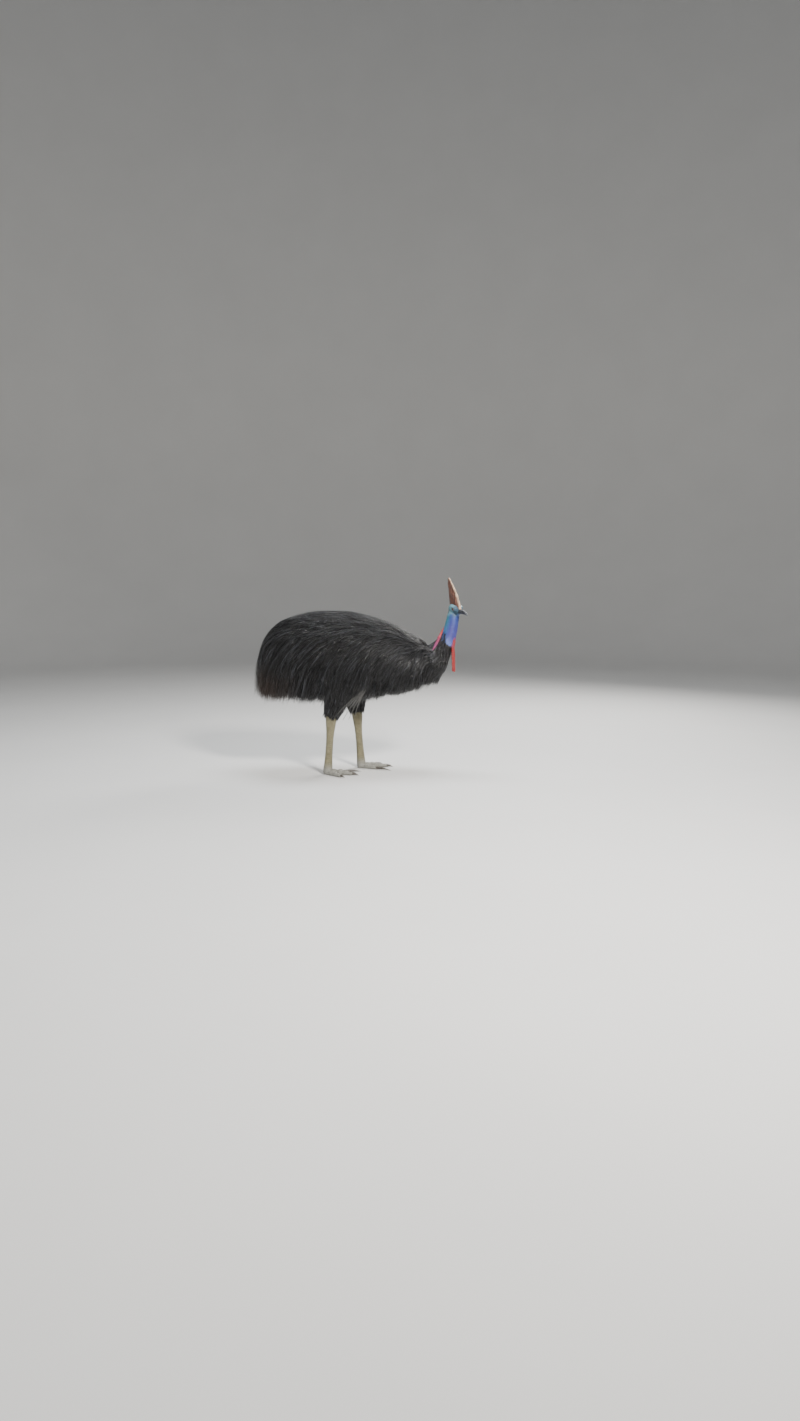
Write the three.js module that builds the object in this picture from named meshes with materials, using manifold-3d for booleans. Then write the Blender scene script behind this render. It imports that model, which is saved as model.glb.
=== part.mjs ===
// A life-size southern cassowary, standing still and looking towards its right.
// Millimetres, +Z up, +X the way the body faces, +Y its left side, feet on Z = 0.
import * as THREE from "three";
import { ParametricGeometry } from "three/addons/geometries/ParametricGeometry.js";
import { mergeVertices } from "three/addons/utils/BufferGeometryUtils.js";
import Module from "manifold-3d";

const wasm = await Module();
wasm.setup();

// Driving sizes
const GAP = 0.3; // air between two sub-parts that touch
const BIRD_MIDDLE = [96, -8.95]; // middle of the whole bird's box, from the ground between the feet
const BODY_MIDDLE = -30; // X of the widest section
const BODY_BACK = 505; // from there to the rump
const BODY_FRONT = 604; // and to where the form would close in front
const BODY_HALF_WIDTH = 208;
const BODY_RISE = 245; // body axis to the top of the back
const BODY_DROP = 235; // body axis to the belly
const BODY_SQUARENESS = 2.3; // exponent of the body's sections
const LOCK_WIDTH = 106;
const LOCK_THICKNESS = 9;
const LOCK_STEP = 103; // along the body from one lock's root to the next
const RUMP_END = -512; // X of the last roots on the rump
const TAIL_CUT = { at: [-330, 0, 800], facing: [-0.97, 0, 0.24] };
const BREAST_CUT = { at: [500, 0, 740], facing: [0.99, 0, 0.14] };
const HEAD_PLACE = [738, -26, 1085]; // between the eyes
const HEAD_YAW = 60; // degrees, from +X towards -Y
const HEAD_PITCH = 6; // degrees, bill down
const HEAD_ROLL = 7; // degrees, crown towards the right side
const CASQUE_HEIGHT = 168;
const CASQUE_LENGTH = 124;
const EYE_RADIUS = 15;
const WATTLE_LENGTH = 165;
const FOOT_HEIGHT = 58; // where the foot begins under the shank

// Height of the body's axis along X
const BODY_AXIS = [
  [-560, 772],
  [-420, 800],
  [-30, 800],
  [230, 768],
  [400, 733],
  [500, 738],
];

// Height at which the hanging plumage ends along X
const HEM = [
  [-610, 500],
  [-540, 484],
  [-300, 480],
  [-130, 462],
  [0, 452],
  [110, 478],
  [240, 510],
  [380, 532],
  [560, 556],
];

// Lean of the plumage along X: degrees from straight down towards the tail
const LEAN = [
  [-625, 6],
  [-560, 16],
  [-480, 23],
  [-300, 38],
  [0, 42],
  [250, 30],
  [480, 12],
];

// Courses of locks from the lowest up: root turned from the top in degrees, X of the first, length,
// how far the tip stands off the body, and rows of points; the ones with no length hang to the hem
const TORSO_COURSES = [
  { turn: 132, from: 300, length: 0, lift: 6, stations: 4 },
  { turn: 107, from: -322, length: 0, lift: 8, stations: 4 },
  { turn: 84, from: -290, length: 0, lift: 13, stations: 5 },
  { turn: 58, from: -320, length: 270, lift: 17, stations: 4 },
  { turn: 33, from: -280, length: 240, lift: 13, stations: 4 },
  { turn: 5, from: -306, length: 210, lift: 9, stations: 4 },
];

// Rings of locks on the rump: distance of the roots behind its cut, how many, how far their tips
// stand off, and length near the top
const TAIL_RINGS = [
  [-50, 8, 15, 260],
  [25, 7, 20, 280],
  [95, 6, 24, 0],
  [150, 5, 20, 0],
];

// Rings of locks round the neck base: keys of root and tip, how many, lift, droop in front and width
const NECK_RINGS = [
  [1.2, 0.45, 7, 10, 84, 92],
  [1.95, 0.95, 6, 13, 64, 88],
  [2.75, 1.7, 6, 14, 34, 70],
  [3.45, 2.5, 6, 12, 14, 56],
];

// Neck from the breast to the skull: distance key, centre, half depth, half width, turn to the right
const NECK = [
  [0, 462, 0, 735, 118, 112, 0],
  [1, 564, 0, 738, 108, 98, 4],
  [2, 618, 0, 788, 79, 75, 10],
  [3, 655, -1, 842, 60, 57, 18],
  [4, 682, -2, 896, 52, 47, 26],
  [5, 700, -3, 950, 46, 42, 34],
  [6, 711, -3, 1000, 43, 39, 42],
  [7, 719, 0, 1045, 40, 36, 50],
  [8, 724, 2, 1082, 30, 30, 60],
];
const NECK_BEND = 1.2; // key up to which the neck bends out of the breast
const NECK_FOOT = 1.45; // key where the neck base rises from the breast
const NECK_BASE_TOP = 3.5; // key where the black plumage ends
const NECK_HALFWAY = 5.4;
const NECK_TOP = 7;

// Wing: the arm on the lower flank, for the left side, and the tips of its bare quills
const WING_ARM = [
  [300, 122, 690],
  [240, 146, 648],
  [168, 162, 604],
];
const QUILL_TIPS = [
  [-62, 178, 386],
  [-22, 184, 394],
  [-4, 178, 372],
  [34, 184, 374],
  [74, 178, 398],
];
const QUILL_SAG = 16;

// Thigh along its length: half depth, half width
const THIGH = [
  [0, 92, 74],
  [0.3, 86, 68],
  [0.6, 71, 56],
  [0.82, 57, 44],
  [1, 44, 36],
];

// Shank along its length: half depth, half width
const SHANK = [
  [-0.06, 37, 31],
  [0.06, 36, 30],
  [0.2, 30, 27],
  [0.32, 25.5, 24],
  [0.5, 23.5, 22.5],
  [0.72, 25, 24],
  [0.86, 28.5, 28],
  [0.94, 31, 31],
  [1, 28, 28],
];

// Each leg from hip to foot: hip, ankle, foot, and the way the toes point in degrees from +X
const LEGS = {
  right: { side: -1, hip: [5, -104, 660], ankle: [-84, -106, 388], foot: [-112, -110, 0], heading: -14 },
  left: { side: 1, hip: [35, 104, 660], ankle: [74, 106, 394], foot: [104, 110, 0], heading: 4 },
};

const rad = THREE.MathUtils.degToRad;
const clamp = THREE.MathUtils.clamp;
const lerp = THREE.MathUtils.lerp;
const vec = (x, y, z) => new THREE.Vector3(x, y, z);
const UP = vec(0, 0, 1);

// Smooth curve through rows [key, value, value, ...] at a key, by cubic Hermite pieces
function through(rows, key) {
  const last = rows.length - 1;
  const at = clamp(key, rows[0][0], rows[last][0]);
  let i = 0;
  while (i < last - 1 && at > rows[i + 1][0]) i += 1;
  const [a, b] = [rows[i], rows[i + 1]];
  const [before, after] = [rows[Math.max(i - 1, 0)], rows[Math.min(i + 2, last)]];
  const span = b[0] - a[0];
  const t = (at - a[0]) / span;
  const t2 = t * t;
  const t3 = t2 * t;
  return a.slice(1).map((va, k) => {
    const vb = b[k + 1];
    const ma = ((vb - before[k + 1]) / (b[0] - before[0])) * span;
    const mb = ((after[k + 1] - va) / (after[0] - a[0])) * span;
    return (2 * t3 - 3 * t2 + 1) * va + (t3 - 2 * t2 + t) * ma + (3 * t2 - 2 * t3) * vb + (t3 - t2) * mb;
  });
}

// A closed geometry as a manifold solid with its faces out
function solidOf(geometry) {
  const bare = geometry.clone();
  bare.deleteAttribute("normal");
  bare.deleteAttribute("uv");
  const merged = mergeVertices(bare, 1e-4);
  const index = merged.index.array;
  const kept = [];
  for (let i = 0; i < index.length; i += 3) {
    const [a, b, c] = [index[i], index[i + 1], index[i + 2]];
    if (a !== b && b !== c && c !== a) kept.push(a, b, c);
  }
  const build = (triangles) =>
    new wasm.Manifold(
      new wasm.Mesh({
        numProp: 3,
        vertProperties: new Float32Array(merged.attributes.position.array),
        triVerts: new Uint32Array(triangles),
      }),
    );
  const made = build(kept);
  return made.volume() < 0 ? build(kept.reverse()) : made;
}

// A closed solid through rings of points, each end shut on its own middle
function loft(rings) {
  const middle = (ring) => ring.reduce((sum, p) => sum.add(p), vec(0, 0, 0)).divideScalar(ring.length);
  const rows = [[middle(rings[0])], ...rings, [middle(rings[rings.length - 1])]];
  const around = rings[0].length;
  const along = rows.length - 1;
  const pick = (u, v, target) => {
    const row = rows[Math.round(v * along)];
    target.copy(row[Math.round(u * around) % row.length]);
  };
  return solidOf(new ParametricGeometry(pick, around, along));
}

// A ring of points round a centre: half sizes along two directions, squarer as n grows past 2
function ring(centre, sideways, upwards, halfWidth, halfHeight, count, n = 2) {
  return Array.from({ length: count }, (_, i) => {
    const turn = (2 * Math.PI * i) / count;
    const [c, s] = [Math.cos(turn), Math.sin(turn)];
    const reach = (Math.abs(c) ** n + Math.abs(s) ** n) ** (-1 / n);
    return centre
      .clone()
      .addScaledVector(sideways, halfWidth * c * reach)
      .addScaledVector(upwards, halfHeight * s * reach);
  });
}

// A tapered rod with rounded sections: rows [x, y, z, half width, half height]
function rod(rows, up, count, n = 2) {
  const points = rows.map(([x, y, z]) => vec(x, y, z));
  return loft(
    rows.map(([, , , halfWidth, halfHeight], i) => {
      const ahead = points[Math.min(i + 1, rows.length - 1)];
      const behind = points[Math.max(i - 1, 0)];
      const along = ahead.clone().sub(behind).normalize();
      const sideways = along.clone().cross(up).normalize();
      const upwards = sideways.clone().cross(along);
      return ring(points[i], sideways, upwards, halfWidth, halfHeight, count, n);
    }),
  );
}

const join = (pieces) => wasm.Manifold.union(pieces);

// The largest closed body of a solid
function largest(solid) {
  return solid.decompose().reduce((best, piece) => (piece.volume() > best.volume() ? piece : best));
}

// Everything on the far side of a plane, as a box far larger than the bird
function beyond(point, normal, shift = 0) {
  const size = 3000;
  const facing = normal.clone().normalize();
  const box = new THREE.BoxGeometry(size, size, size);
  box.applyQuaternion(new THREE.Quaternion().setFromUnitVectors(UP, facing));
  const centre = point.clone().addScaledVector(facing, size / 2 + shift);
  box.translate(centre.x, centre.y, centre.z);
  return solidOf(box);
}

// Both sides of a cut, half a gap clear of its plane
function cutFaces({ at, facing }) {
  const point = vec(...at);
  const normal = vec(...facing);
  return {
    ahead: beyond(point, normal, GAP / 2),
    behind: beyond(point, normal.clone().negate(), GAP / 2),
  };
}

const aboveFloor = () => beyond(vec(0, 0, 0), UP);

// Body: a rounded form whose axis rises and falls along X

const axisHeight = (x) => through(BODY_AXIS, x)[0];
const hemHeight = (x) => through(HEM, x)[0];

// Point of the body at X, turned round the axis from the top towards +Y, a distance out
function bodySkin(x, turn, out) {
  const n = BODY_SQUARENESS;
  const length = (x < BODY_MIDDLE ? BODY_BACK : BODY_FRONT) + out;
  const side = BODY_HALF_WIDTH + out;
  const height = (Math.cos(turn) > 0 ? BODY_RISE : BODY_DROP) + out;
  const shrink = Math.max(1 - Math.abs((x - BODY_MIDDLE) / length) ** n, 0) ** (1 / n);
  const reach = (Math.abs(Math.sin(turn) / side) ** n + Math.abs(Math.cos(turn) / height) ** n) ** (-1 / n);
  return vec(x, shrink * reach * Math.sin(turn), axisHeight(x) + shrink * reach * Math.cos(turn));
}

function bodyForm(out, around = 18, along = 18) {
  const rings = [];
  for (let j = 1; j < along; j += 1) {
    const sweep = Math.sin((Math.PI / 2) * ((2 * j) / along - 1));
    const x = BODY_MIDDLE + sweep * ((sweep < 0 ? BODY_BACK : BODY_FRONT) + out);
    rings.push(Array.from({ length: around }, (_, i) => bodySkin(x, (2 * Math.PI * i) / around, out)));
  }
  return loft(rings);
}

// How far out a point is: 1 on the body's surface moved out by a distance
function bodyLevel(p, out) {
  const n = BODY_SQUARENESS;
  const rise = p.z - axisHeight(p.x);
  const length = (p.x < BODY_MIDDLE ? BODY_BACK : BODY_FRONT) + out;
  const height = (rise > 0 ? BODY_RISE : BODY_DROP) + out;
  return (
    Math.abs((p.x - BODY_MIDDLE) / length) ** n +
    Math.abs(p.y / (BODY_HALF_WIDTH + out)) ** n +
    Math.abs(rise / height) ** n
  );
}

// Way out of the body at a point
function bodyNormal(p) {
  const share = (offset, size) => Math.abs(offset / size) ** (BODY_SQUARENESS - 1);
  const slope = (offset, size) => (Math.sign(offset) * share(offset, size)) / size;
  const rise = p.z - axisHeight(p.x);
  const length = p.x < BODY_MIDDLE ? BODY_BACK : BODY_FRONT;
  const height = rise > 0 ? BODY_RISE : BODY_DROP;
  return vec(slope(p.x - BODY_MIDDLE, length), slope(p.y, BODY_HALF_WIDTH), slope(rise, height)).normalize();
}

// Locks: flat strips with a ridge, widest a third of the way along, that taper to a thin tip

function lockForm(path, normals, width, thickness) {
  const last = path.length - 1;
  const rings = path.map((p, k) => {
    const t = k / last;
    const along = path[Math.min(k + 1, last)].clone().sub(path[Math.max(k - 1, 0)]).normalize();
    const sideways = along.clone().cross(normals[k]).normalize();
    const upwards = sideways.clone().cross(along);
    const wide = t < 0.35 ? lerp(0.62, 1, t / 0.35) : lerp(1, 0.06, ((t - 0.35) / 0.65) ** 1.25);
    const half = sideways.multiplyScalar((width / 2) * wide);
    const ridge = upwards.multiplyScalar(thickness * lerp(1, 0.25, t));
    return [p.clone().add(half), p.clone().add(ridge), p.clone().sub(half)];
  });
  return loft(rings);
}

// Evenly spaced points and normals out of a finely stepped path
function resample(points, normals, count) {
  const pick = (k) => Math.round((k * (points.length - 1)) / (count - 1));
  const at = Array.from({ length: count }, (_, k) => pick(k));
  return [at.map((i) => points[i]), at.map((i) => normals[i])];
}

// A lock of the trunk: it leaves the body at its root, follows the lie over it and then hangs free
function bodyLock({ x, turn, length, lift, width, sway, stations = 5 }) {
  const sunk = 12;
  const step = 6;
  const p = bodySkin(x, turn, -sunk);
  const floor = hemHeight(x) + 14 * sway;
  const points = [p.clone()];
  const normals = [bodyNormal(p)];
  const total = length || 900;
  for (let gone = step; gone <= total; gone += step) {
    const hanging = clamp((p.z - floor) / 260, 0, 1);
    const lean = rad(through(LEAN, p.x)[0] * lerp(0.45, 1, hanging) + 4 * sway);
    const way = vec(-Math.sin(lean), 0, -Math.cos(lean));
    const out = bodyNormal(p);
    const inward = Math.min(way.dot(out), 0);
    p.addScaledVector(way.addScaledVector(out, -inward).normalize(), step);
    const rise = clamp(gone / (length || 260), 0, 1);
    const clear = lerp(-sunk, lift, rise ** 0.45);
    for (let push = 0; push < 60 && bodyLevel(p, clear) < 1; push += 1) p.addScaledVector(bodyNormal(p), 1);
    points.push(p.clone());
    normals.push(bodyNormal(p));
    if (p.z < floor) break;
  }
  return lockForm(...resample(points, normals, stations), width, LOCK_THICKNESS);
}

// Repeatable random numbers from -1 to 1
function drawing(seed) {
  let state = seed;
  return () => {
    state = (state * 1664525 + 1013904223) % 4294967296;
    return (state / 4294967296) * 2 - 1;
  };
}

function torsoLocks() {
  const draw = drawing(7);
  const locks = [];
  TORSO_COURSES.forEach((course) => {
    for (let x = course.from; x < 540; x += LOCK_STEP) {
      for (const side of [-1, 1]) {
        const alternate = Math.round((x - course.from) / LOCK_STEP) % 2 ? 4 : -1;
        locks.push(
          bodyLock({
            x: x + 9 * draw(),
            turn: side * rad(course.turn + 4 * draw()),
            length: course.length && course.length * (1 + 0.1 * draw()),
            lift: course.lift + alternate,
            stations: course.stations,
            width: LOCK_WIDTH * (1 + 0.12 * draw()),
            sway: draw(),
          }),
        );
      }
    }
  });
  return locks;
}

// Locks of the rump: they run back over its end and hang to the hem
function tailLocks() {
  const draw = drawing(11);
  const spread = 112;
  const locks = [];
  TAIL_RINGS.forEach(([back, count, lift, length], row) => {
    for (let i = 0; i < count; i += 1) {
      const turn = lerp(-spread, spread, (i + 0.2 * (row % 2)) / (count - 0.8));
      const hangs = length === 0 || Math.abs(turn) > 72;
      const tilt = (TAIL_CUT.facing[2] / TAIL_CUT.facing[0]) * BODY_RISE * Math.cos(rad(turn));
      locks.push(
        bodyLock({
          x: Math.max(TAIL_CUT.at[0] - tilt - back, RUMP_END) + 5 * draw(),
          turn: rad(turn + 4 * draw()),
          length: hangs ? 0 : length,
          stations: hangs && Math.abs(turn) < 72 ? 6 : 4,
          lift: lift + (i % 2 ? 4 : 0),
          width: LOCK_WIDTH * (0.95 + 0.12 * draw()),
          sway: draw(),
        }),
      );
    }
  });
  return locks;
}

// Neck: rings along its curve, the front turning to the right on the way up

function neckFrame(key) {
  const [x, y, z, depth, width, turn] = through(NECK, key);
  const step = 0.02;
  const [ax, ay, az] = through(NECK, key + step);
  const [bx, by, bz] = through(NECK, key - step);
  const along = vec(ax - bx, ay - by, az - bz).normalize();
  const left = vec(0, 1, 0);
  const front = left.clone().cross(along).normalize();
  const way = rad(turn);
  const facing = front.clone().multiplyScalar(Math.cos(way)).addScaledVector(left, -Math.sin(way));
  const leftward = along.clone().cross(facing).normalize();
  return { centre: vec(x, y, z), along, facing, leftward, depth, width };
}

function neckForm(from, to, out = 0, count = 14) {
  const rings = (start, end) => {
    const steps = Math.max(Math.round((end - start) * 2.5), 1);
    return Array.from({ length: steps + 1 }, (_, j) => {
      const f = neckFrame(lerp(start, end, j / steps));
      return ring(f.centre, f.facing, f.leftward, f.depth + out, f.width + out, count, 2.1);
    });
  };
  const straight = loft(rings(Math.max(from, NECK_BEND), to));
  if (from >= NECK_BEND) return straight;
  // the bend out of the breast is a hull, so it doesn't fold over itself
  const bend = rings(from, NECK_BEND + 0.2).flat();
  return straight.add(wasm.Manifold.hull(bend.map((p) => p.toArray())));
}

// Locks of the neck base: they run down the neck and droop past the breast
function neckLock({ from, to, turn, lift, width, droop }) {
  const points = [];
  const normals = [];
  const steps = 3;
  for (let j = 0; j <= steps; j += 1) {
    const t = j / steps;
    const f = neckFrame(lerp(from, to, t));
    const out = lerp(-9, lift, t ** 0.5);
    const way = f.facing.clone().multiplyScalar(Math.cos(turn)).addScaledVector(f.leftward, Math.sin(turn));
    const p = f.centre
      .clone()
      .addScaledVector(f.facing, (f.depth + out) * Math.cos(turn))
      .addScaledVector(f.leftward, (f.width + out) * Math.sin(turn));
    p.z -= droop * t ** 1.6;
    points.push(p);
    normals.push(way);
  }
  return lockForm(points, normals, width, LOCK_THICKNESS * 0.8);
}

function neckBaseLocks() {
  const draw = drawing(23);
  const locks = [];
  NECK_RINGS.forEach(([from, to, count, lift, droop, width], row) => {
    for (let i = 0; i < count; i += 1) {
      const turn = (2 * Math.PI * (i + 0.5 * (row % 2))) / count;
      // the bare fold stays clear, and the torso already covers the foot of the nape
      const fromFold = Math.abs(Math.min(turn, 2 * Math.PI - turn) - napeTurn(from));
      if (row > 1 ? fromFold < rad(17) : Math.cos(turn) < -0.3) continue;
      locks.push(
        neckLock({
          from: from + 0.05 * draw(),
          to: to + 0.08 * draw(),
          turn,
          lift: lift + (i % 2 ? 4 : 0),
          width: width * (1 + 0.1 * draw()),
          droop: droop * Math.max(Math.cos(turn), 0),
        }),
      );
    }
  });
  return locks;
}

// Bare red fold of the nape, which runs down each side of the neck to the shoulder
const NAPE_TOP = 5.1;
const NAPE_FOOT = 1.7;
const napeTurn = (key) => rad(lerp(116, 168, clamp((key - NAPE_FOOT) / (NAPE_TOP - NAPE_FOOT), 0, 1) ** 1.3));

function napeFold(side) {
  const rows = [];
  const steps = 8;
  for (let j = 0; j <= steps; j += 1) {
    const t = j / steps;
    const f = neckFrame(lerp(NAPE_TOP, NAPE_FOOT, t));
    const turn = side * napeTurn(lerp(NAPE_TOP, NAPE_FOOT, t));
    const swell = Math.sin(Math.PI * (0.12 + 0.8 * t)) * (1 + 0.14 * Math.sin(19 * t));
    const p = f.centre
      .clone()
      .addScaledVector(f.facing, (f.depth - 1) * Math.cos(turn))
      .addScaledVector(f.leftward, (f.width - 1) * Math.sin(turn));
    rows.push([p.x, p.y, p.z, 15 * swell, 9 * swell]);
  }
  const f = neckFrame((NAPE_TOP + NAPE_FOOT) / 2);
  return rod(rows, f.facing.clone().negate().addScaledVector(f.leftward, side * 0.8).normalize(), 6);
}

// Wattle: a flap that hangs from the throat, one on each side of its middle
function wattleForm(side, out = 0) {
  const f = neckFrame(3.35);
  const root = f.centre.clone().addScaledVector(f.facing, f.depth + 5).addScaledVector(f.leftward, side * 15);
  const rows = [];
  const steps = 8;
  for (let j = 0; j <= steps; j += 1) {
    const t = j / steps;
    const wide = 9 + 5 * Math.sin(Math.PI * t ** 1.5) + (j % 2) - 3 * t ** 8;
    const thick = 5 + 2 * Math.sin(Math.PI * t);
    rows.push([root.x + 6 * t, root.y + side * 4 * t, root.z - WATTLE_LENGTH * t, wide + out, thick + out]);
  }
  return rod(rows, f.facing, 8);
}

const neckCut = (key) => {
  const f = neckFrame(key);
  return cutFaces({ at: f.centre.toArray(), facing: f.along.toArray() });
};

// Head: X forward along the bill, Z up, the origin between the eyes

const headTurn = new THREE.Matrix4()
  .makeTranslation(...HEAD_PLACE)
  .multiply(new THREE.Matrix4().makeRotationZ(-rad(HEAD_YAW)))
  .multiply(new THREE.Matrix4().makeRotationY(rad(HEAD_PITCH)))
  .multiply(new THREE.Matrix4().makeRotationX(rad(HEAD_ROLL)));

const placed = (solid) => solid.transform(headTurn.toArray());

// Skull rows: x, middle height, half width, half height
const SKULL = [
  [-68, -12, 14, 16],
  [-60, -10, 25, 28],
  [-42, -7, 33, 36],
  [-20, -4, 35, 37],
  [4, -4, 31, 34],
  [24, -8, 24, 27],
  [40, -11, 18, 21],
];

function skull(out = 0) {
  return rod(SKULL.map(([x, z, w, h], i) => [x - (i ? 0 : out), 0, z, w + out, h + out]), UP, 14, 2.15);
}

// Bill rows: x, height of the mouth line, half width, upper depth, lower depth
const BILL = [
  [20, -13, 20, 24, 17],
  [40, -14, 16, 21, 14],
  [60, -15, 12.5, 18, 11],
  [82, -17, 10, 16, 8.5],
  [104, -20, 7.5, 14.5, 6.5],
  [118, -24, 5, 12.5, 4.5],
  [126, -29, 2.4, 7, 2],
];

const BILL_START = 24; // X where the horn of the bill begins

function billHalf(sign, out = 0) {
  const count = 8;
  const rings = BILL.map(([x, mouth, w, upper, lower]) => {
    const depth = (sign > 0 ? upper : lower) + out;
    return Array.from({ length: count + 1 }, (_, i) => {
      const turn = (Math.PI * i) / count;
      const rise = Math.sin(turn) ** 0.8 * depth;
      const across = (w + out) * Math.cos(turn) * (1 - 0.15 * Math.sin(turn));
      return vec(x, across, mouth + sign * (GAP + rise));
    });
  });
  return loft(rings);
}

// Everything in the head's frame in front of an X
const inFront = (x) => beyond(vec(x, 0, 0), vec(1, 0, 0));

// Eye: a ball on each side, the right one at -1
const EYE_PLACE = [4, 24, 4];

function eyeBall(side, out = 0) {
  const [x, y, z] = EYE_PLACE;
  const ball = new THREE.SphereGeometry(EYE_RADIUS + out, 12, 8);
  ball.translate(x, side * y, z);
  return solidOf(ball);
}

// Lids: a thick rim round each eye
function lidRing(side) {
  const [x, y, z] = EYE_PLACE;
  const rim = new THREE.TorusGeometry(EYE_RADIUS - 1.5, 4, 4, 10);
  rim.rotateX(Math.PI / 2).scale(1.15, 1, 0.95).rotateZ(-side * 0.12);
  rim.translate(x, side * (y + 7), z);
  return solidOf(rim);
}

// Ear opening: a round pit behind and below the eye
function earHole(side) {
  const pit = new THREE.CylinderGeometry(6, 3.5, 14, 7);
  pit.rotateX((side * Math.PI) / 2);
  pit.translate(-38, side * 35, -10);
  return solidOf(pit);
}

// Corner of the mouth: the line of the bill carried back into the cheek
function mouthCorner() {
  const slit = new THREE.BoxGeometry(24, 80, 1.4);
  slit.rotateY(rad(-4));
  slit.translate(16, 0, BILL[0][1] + 0.5);
  return solidOf(slit);
}

// Nostril: a long slot low on the side of the bill
function nostril(side) {
  const slot = new THREE.SphereGeometry(1, 8, 6);
  slot.scale(9, 5, 2.6).rotateY(rad(12));
  slot.translate(76, side * 11, -8);
  return solidOf(slot);
}

// Casque: a tall blade that leans back, thick at its foot and thin along its ridge
function casqueForm() {
  const rings = [];
  const steps = 9;
  for (let j = 0; j <= steps; j += 1) {
    const t = j / steps;
    const front = lerp(52, -44, t ** 1.05) + 9 * Math.sin(Math.PI * t);
    const back = lerp(52 - CASQUE_LENGTH, -76, t ** 0.8) - 5 * Math.sin(Math.PI * t);
    const height = lerp(4, 30 + CASQUE_HEIGHT, t ** 0.95);
    const half = ((front - back) / 2) * (1 - 0.35 * t ** 9);
    const thick = lerp(21, 5.5, t ** 0.7);
    const lean = -14 * t ** 1.5;
    rings.push(ring(vec((front + back) / 2, lean, height), vec(1, 0, 0), vec(0, 1, 0), half, thick, 12, 2.2));
  }
  return loft(rings);
}

// Legs

// Locks down the thigh, their tips hanging just past the ankle
function thighLocks(leg, seed) {
  const draw = drawing(seed);
  const locks = [];
  const rows = [
    [0.5, 0.96, 5, 12],
    [0.74, 1.07, 4, 9],
  ];
  rows.forEach(([from, to, count, lift], row) => {
    for (let i = 0; i < count; i += 1) {
      const turn = (2 * Math.PI * (i + 0.5 * row)) / count;
      const points = [];
      const normals = [];
      const steps = 3;
      const end = to + 0.04 * draw();
      for (let j = 0; j <= steps; j += 1) {
        const t = lerp(from, end, j / steps);
        const [depth, width] = through(THIGH, Math.min(t, 1));
        const out = lerp(-7, lift, (j / steps) ** 0.6);
        const way = vec(Math.cos(turn), Math.sin(turn), 0);
        const centre = vec(...leg.hip).lerp(vec(...leg.ankle), t);
        points.push(vec(centre.x + way.x * (depth + out), centre.y + way.y * (width + out), centre.z));
        normals.push(way);
      }
      const width = (row ? 46 : 64) * (1 + 0.1 * draw());
      locks.push(lockForm(points, normals, width, LOCK_THICKNESS * 0.8));
    }
  });
  return locks;
}

function thighForm(leg) {
  const [hx, hy, hz] = leg.hip;
  const [ax, ay, az] = leg.ankle;
  const rows = THIGH.map(([t, depth, width]) => {
    return [lerp(hx, ax, t), lerp(hy, ay, t), lerp(hz, az, t), width, depth];
  });
  return rod(rows, vec(1, 0, 0), 14);
}

function shankForm(leg) {
  const [ax, ay, az] = leg.ankle;
  const [fx, fy] = leg.foot;
  const bottom = -3;
  const scutes = 7;
  const raised = 1.8;
  const rows = [];
  for (let j = 0; j <= 2 * scutes + 1; j += 1) {
    // each scute starts proud of the one below it and ends flush
    const t = lerp(-0.05, 1, (Math.floor(j / 2) + (j % 2) * 0.86) / scutes);
    const [depth, width] = through(SHANK, t);
    const proud = j % 2 ? 0 : raised;
    rows.push([lerp(ax, fx, t), lerp(ay, fy, t), lerp(az, bottom, t), width + proud * 0.6, depth + proud]);
    if (t >= 1) break;
  }
  return rod(rows, vec(1, 0, 0), 10);
}

// Toes: spread from the middle toe in degrees towards the outer side, and sizes
const TOES = {
  inner: { spread: -31, length: 116, thick: 15, claw: 112 },
  middle: { spread: 0, length: 168, thick: 18, claw: 48 },
  outer: { spread: 30, length: 134, thick: 15, claw: 40 },
};
const TOE_SHIFT = 13; // sideways step between the roots of two toes
const TOE_START = 48; // from the middle of the foot to where a toe stands free

function toeFrame(leg, toe) {
  const heading = rad(leg.heading + toe.spread * leg.side);
  const middle = rad(leg.heading);
  const shift = TOE_SHIFT * Math.sign(toe.spread) * leg.side;
  const root = vec(leg.foot[0] - shift * Math.sin(middle), leg.foot[1] + shift * Math.cos(middle), 0);
  return { along: vec(Math.cos(heading), Math.sin(heading), 0), root };
}

function toeForm(leg, toe) {
  const { along, root } = toeFrame(leg, toe);
  const scutes = Math.round(toe.length / 24);
  const rows = [];
  for (let j = 0; j <= 2 * scutes; j += 1) {
    // each scute starts proud of the next one and ends flush
    const t = Math.min((Math.floor(j / 2) + (j % 2) * 0.85) / scutes, 1);
    const half = toe.thick * (lerp(1.1, 0.8, t) - 0.2 * t ** 12) - (j % 2 ? 1.3 : 0);
    const p = root.clone().addScaledVector(along, toe.length * t);
    rows.push([p.x, p.y, half - 2.5, half, half]);
  }
  const end = root.clone().addScaledVector(along, toe.length);
  return rod(rows, UP, 7, 2.2).intersect(beyond(end, along.clone().negate()));
}

function clawForm(leg, toe) {
  const { along, root } = toeFrame(leg, toe);
  const half = toe.thick * 0.56;
  const steps = 5;
  const rows = [];
  for (let j = 0; j <= steps; j += 1) {
    const t = j / steps;
    const size = Math.max(half * (1 - t ** 1.5), 0.5);
    const p = root.clone().addScaledVector(along, lerp(toe.length - 4, toe.length + toe.claw, t));
    const arch = 3.5 * Math.sin(Math.PI * t);
    rows.push([p.x, p.y, lerp(toe.thick * 0.72 - 1, 1.4, t) + arch, size * 0.8, size]);
  }
  const end = root.clone().addScaledVector(along, toe.length);
  return rod(rows, UP, 6).intersect(beyond(end, along, GAP));
}

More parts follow.
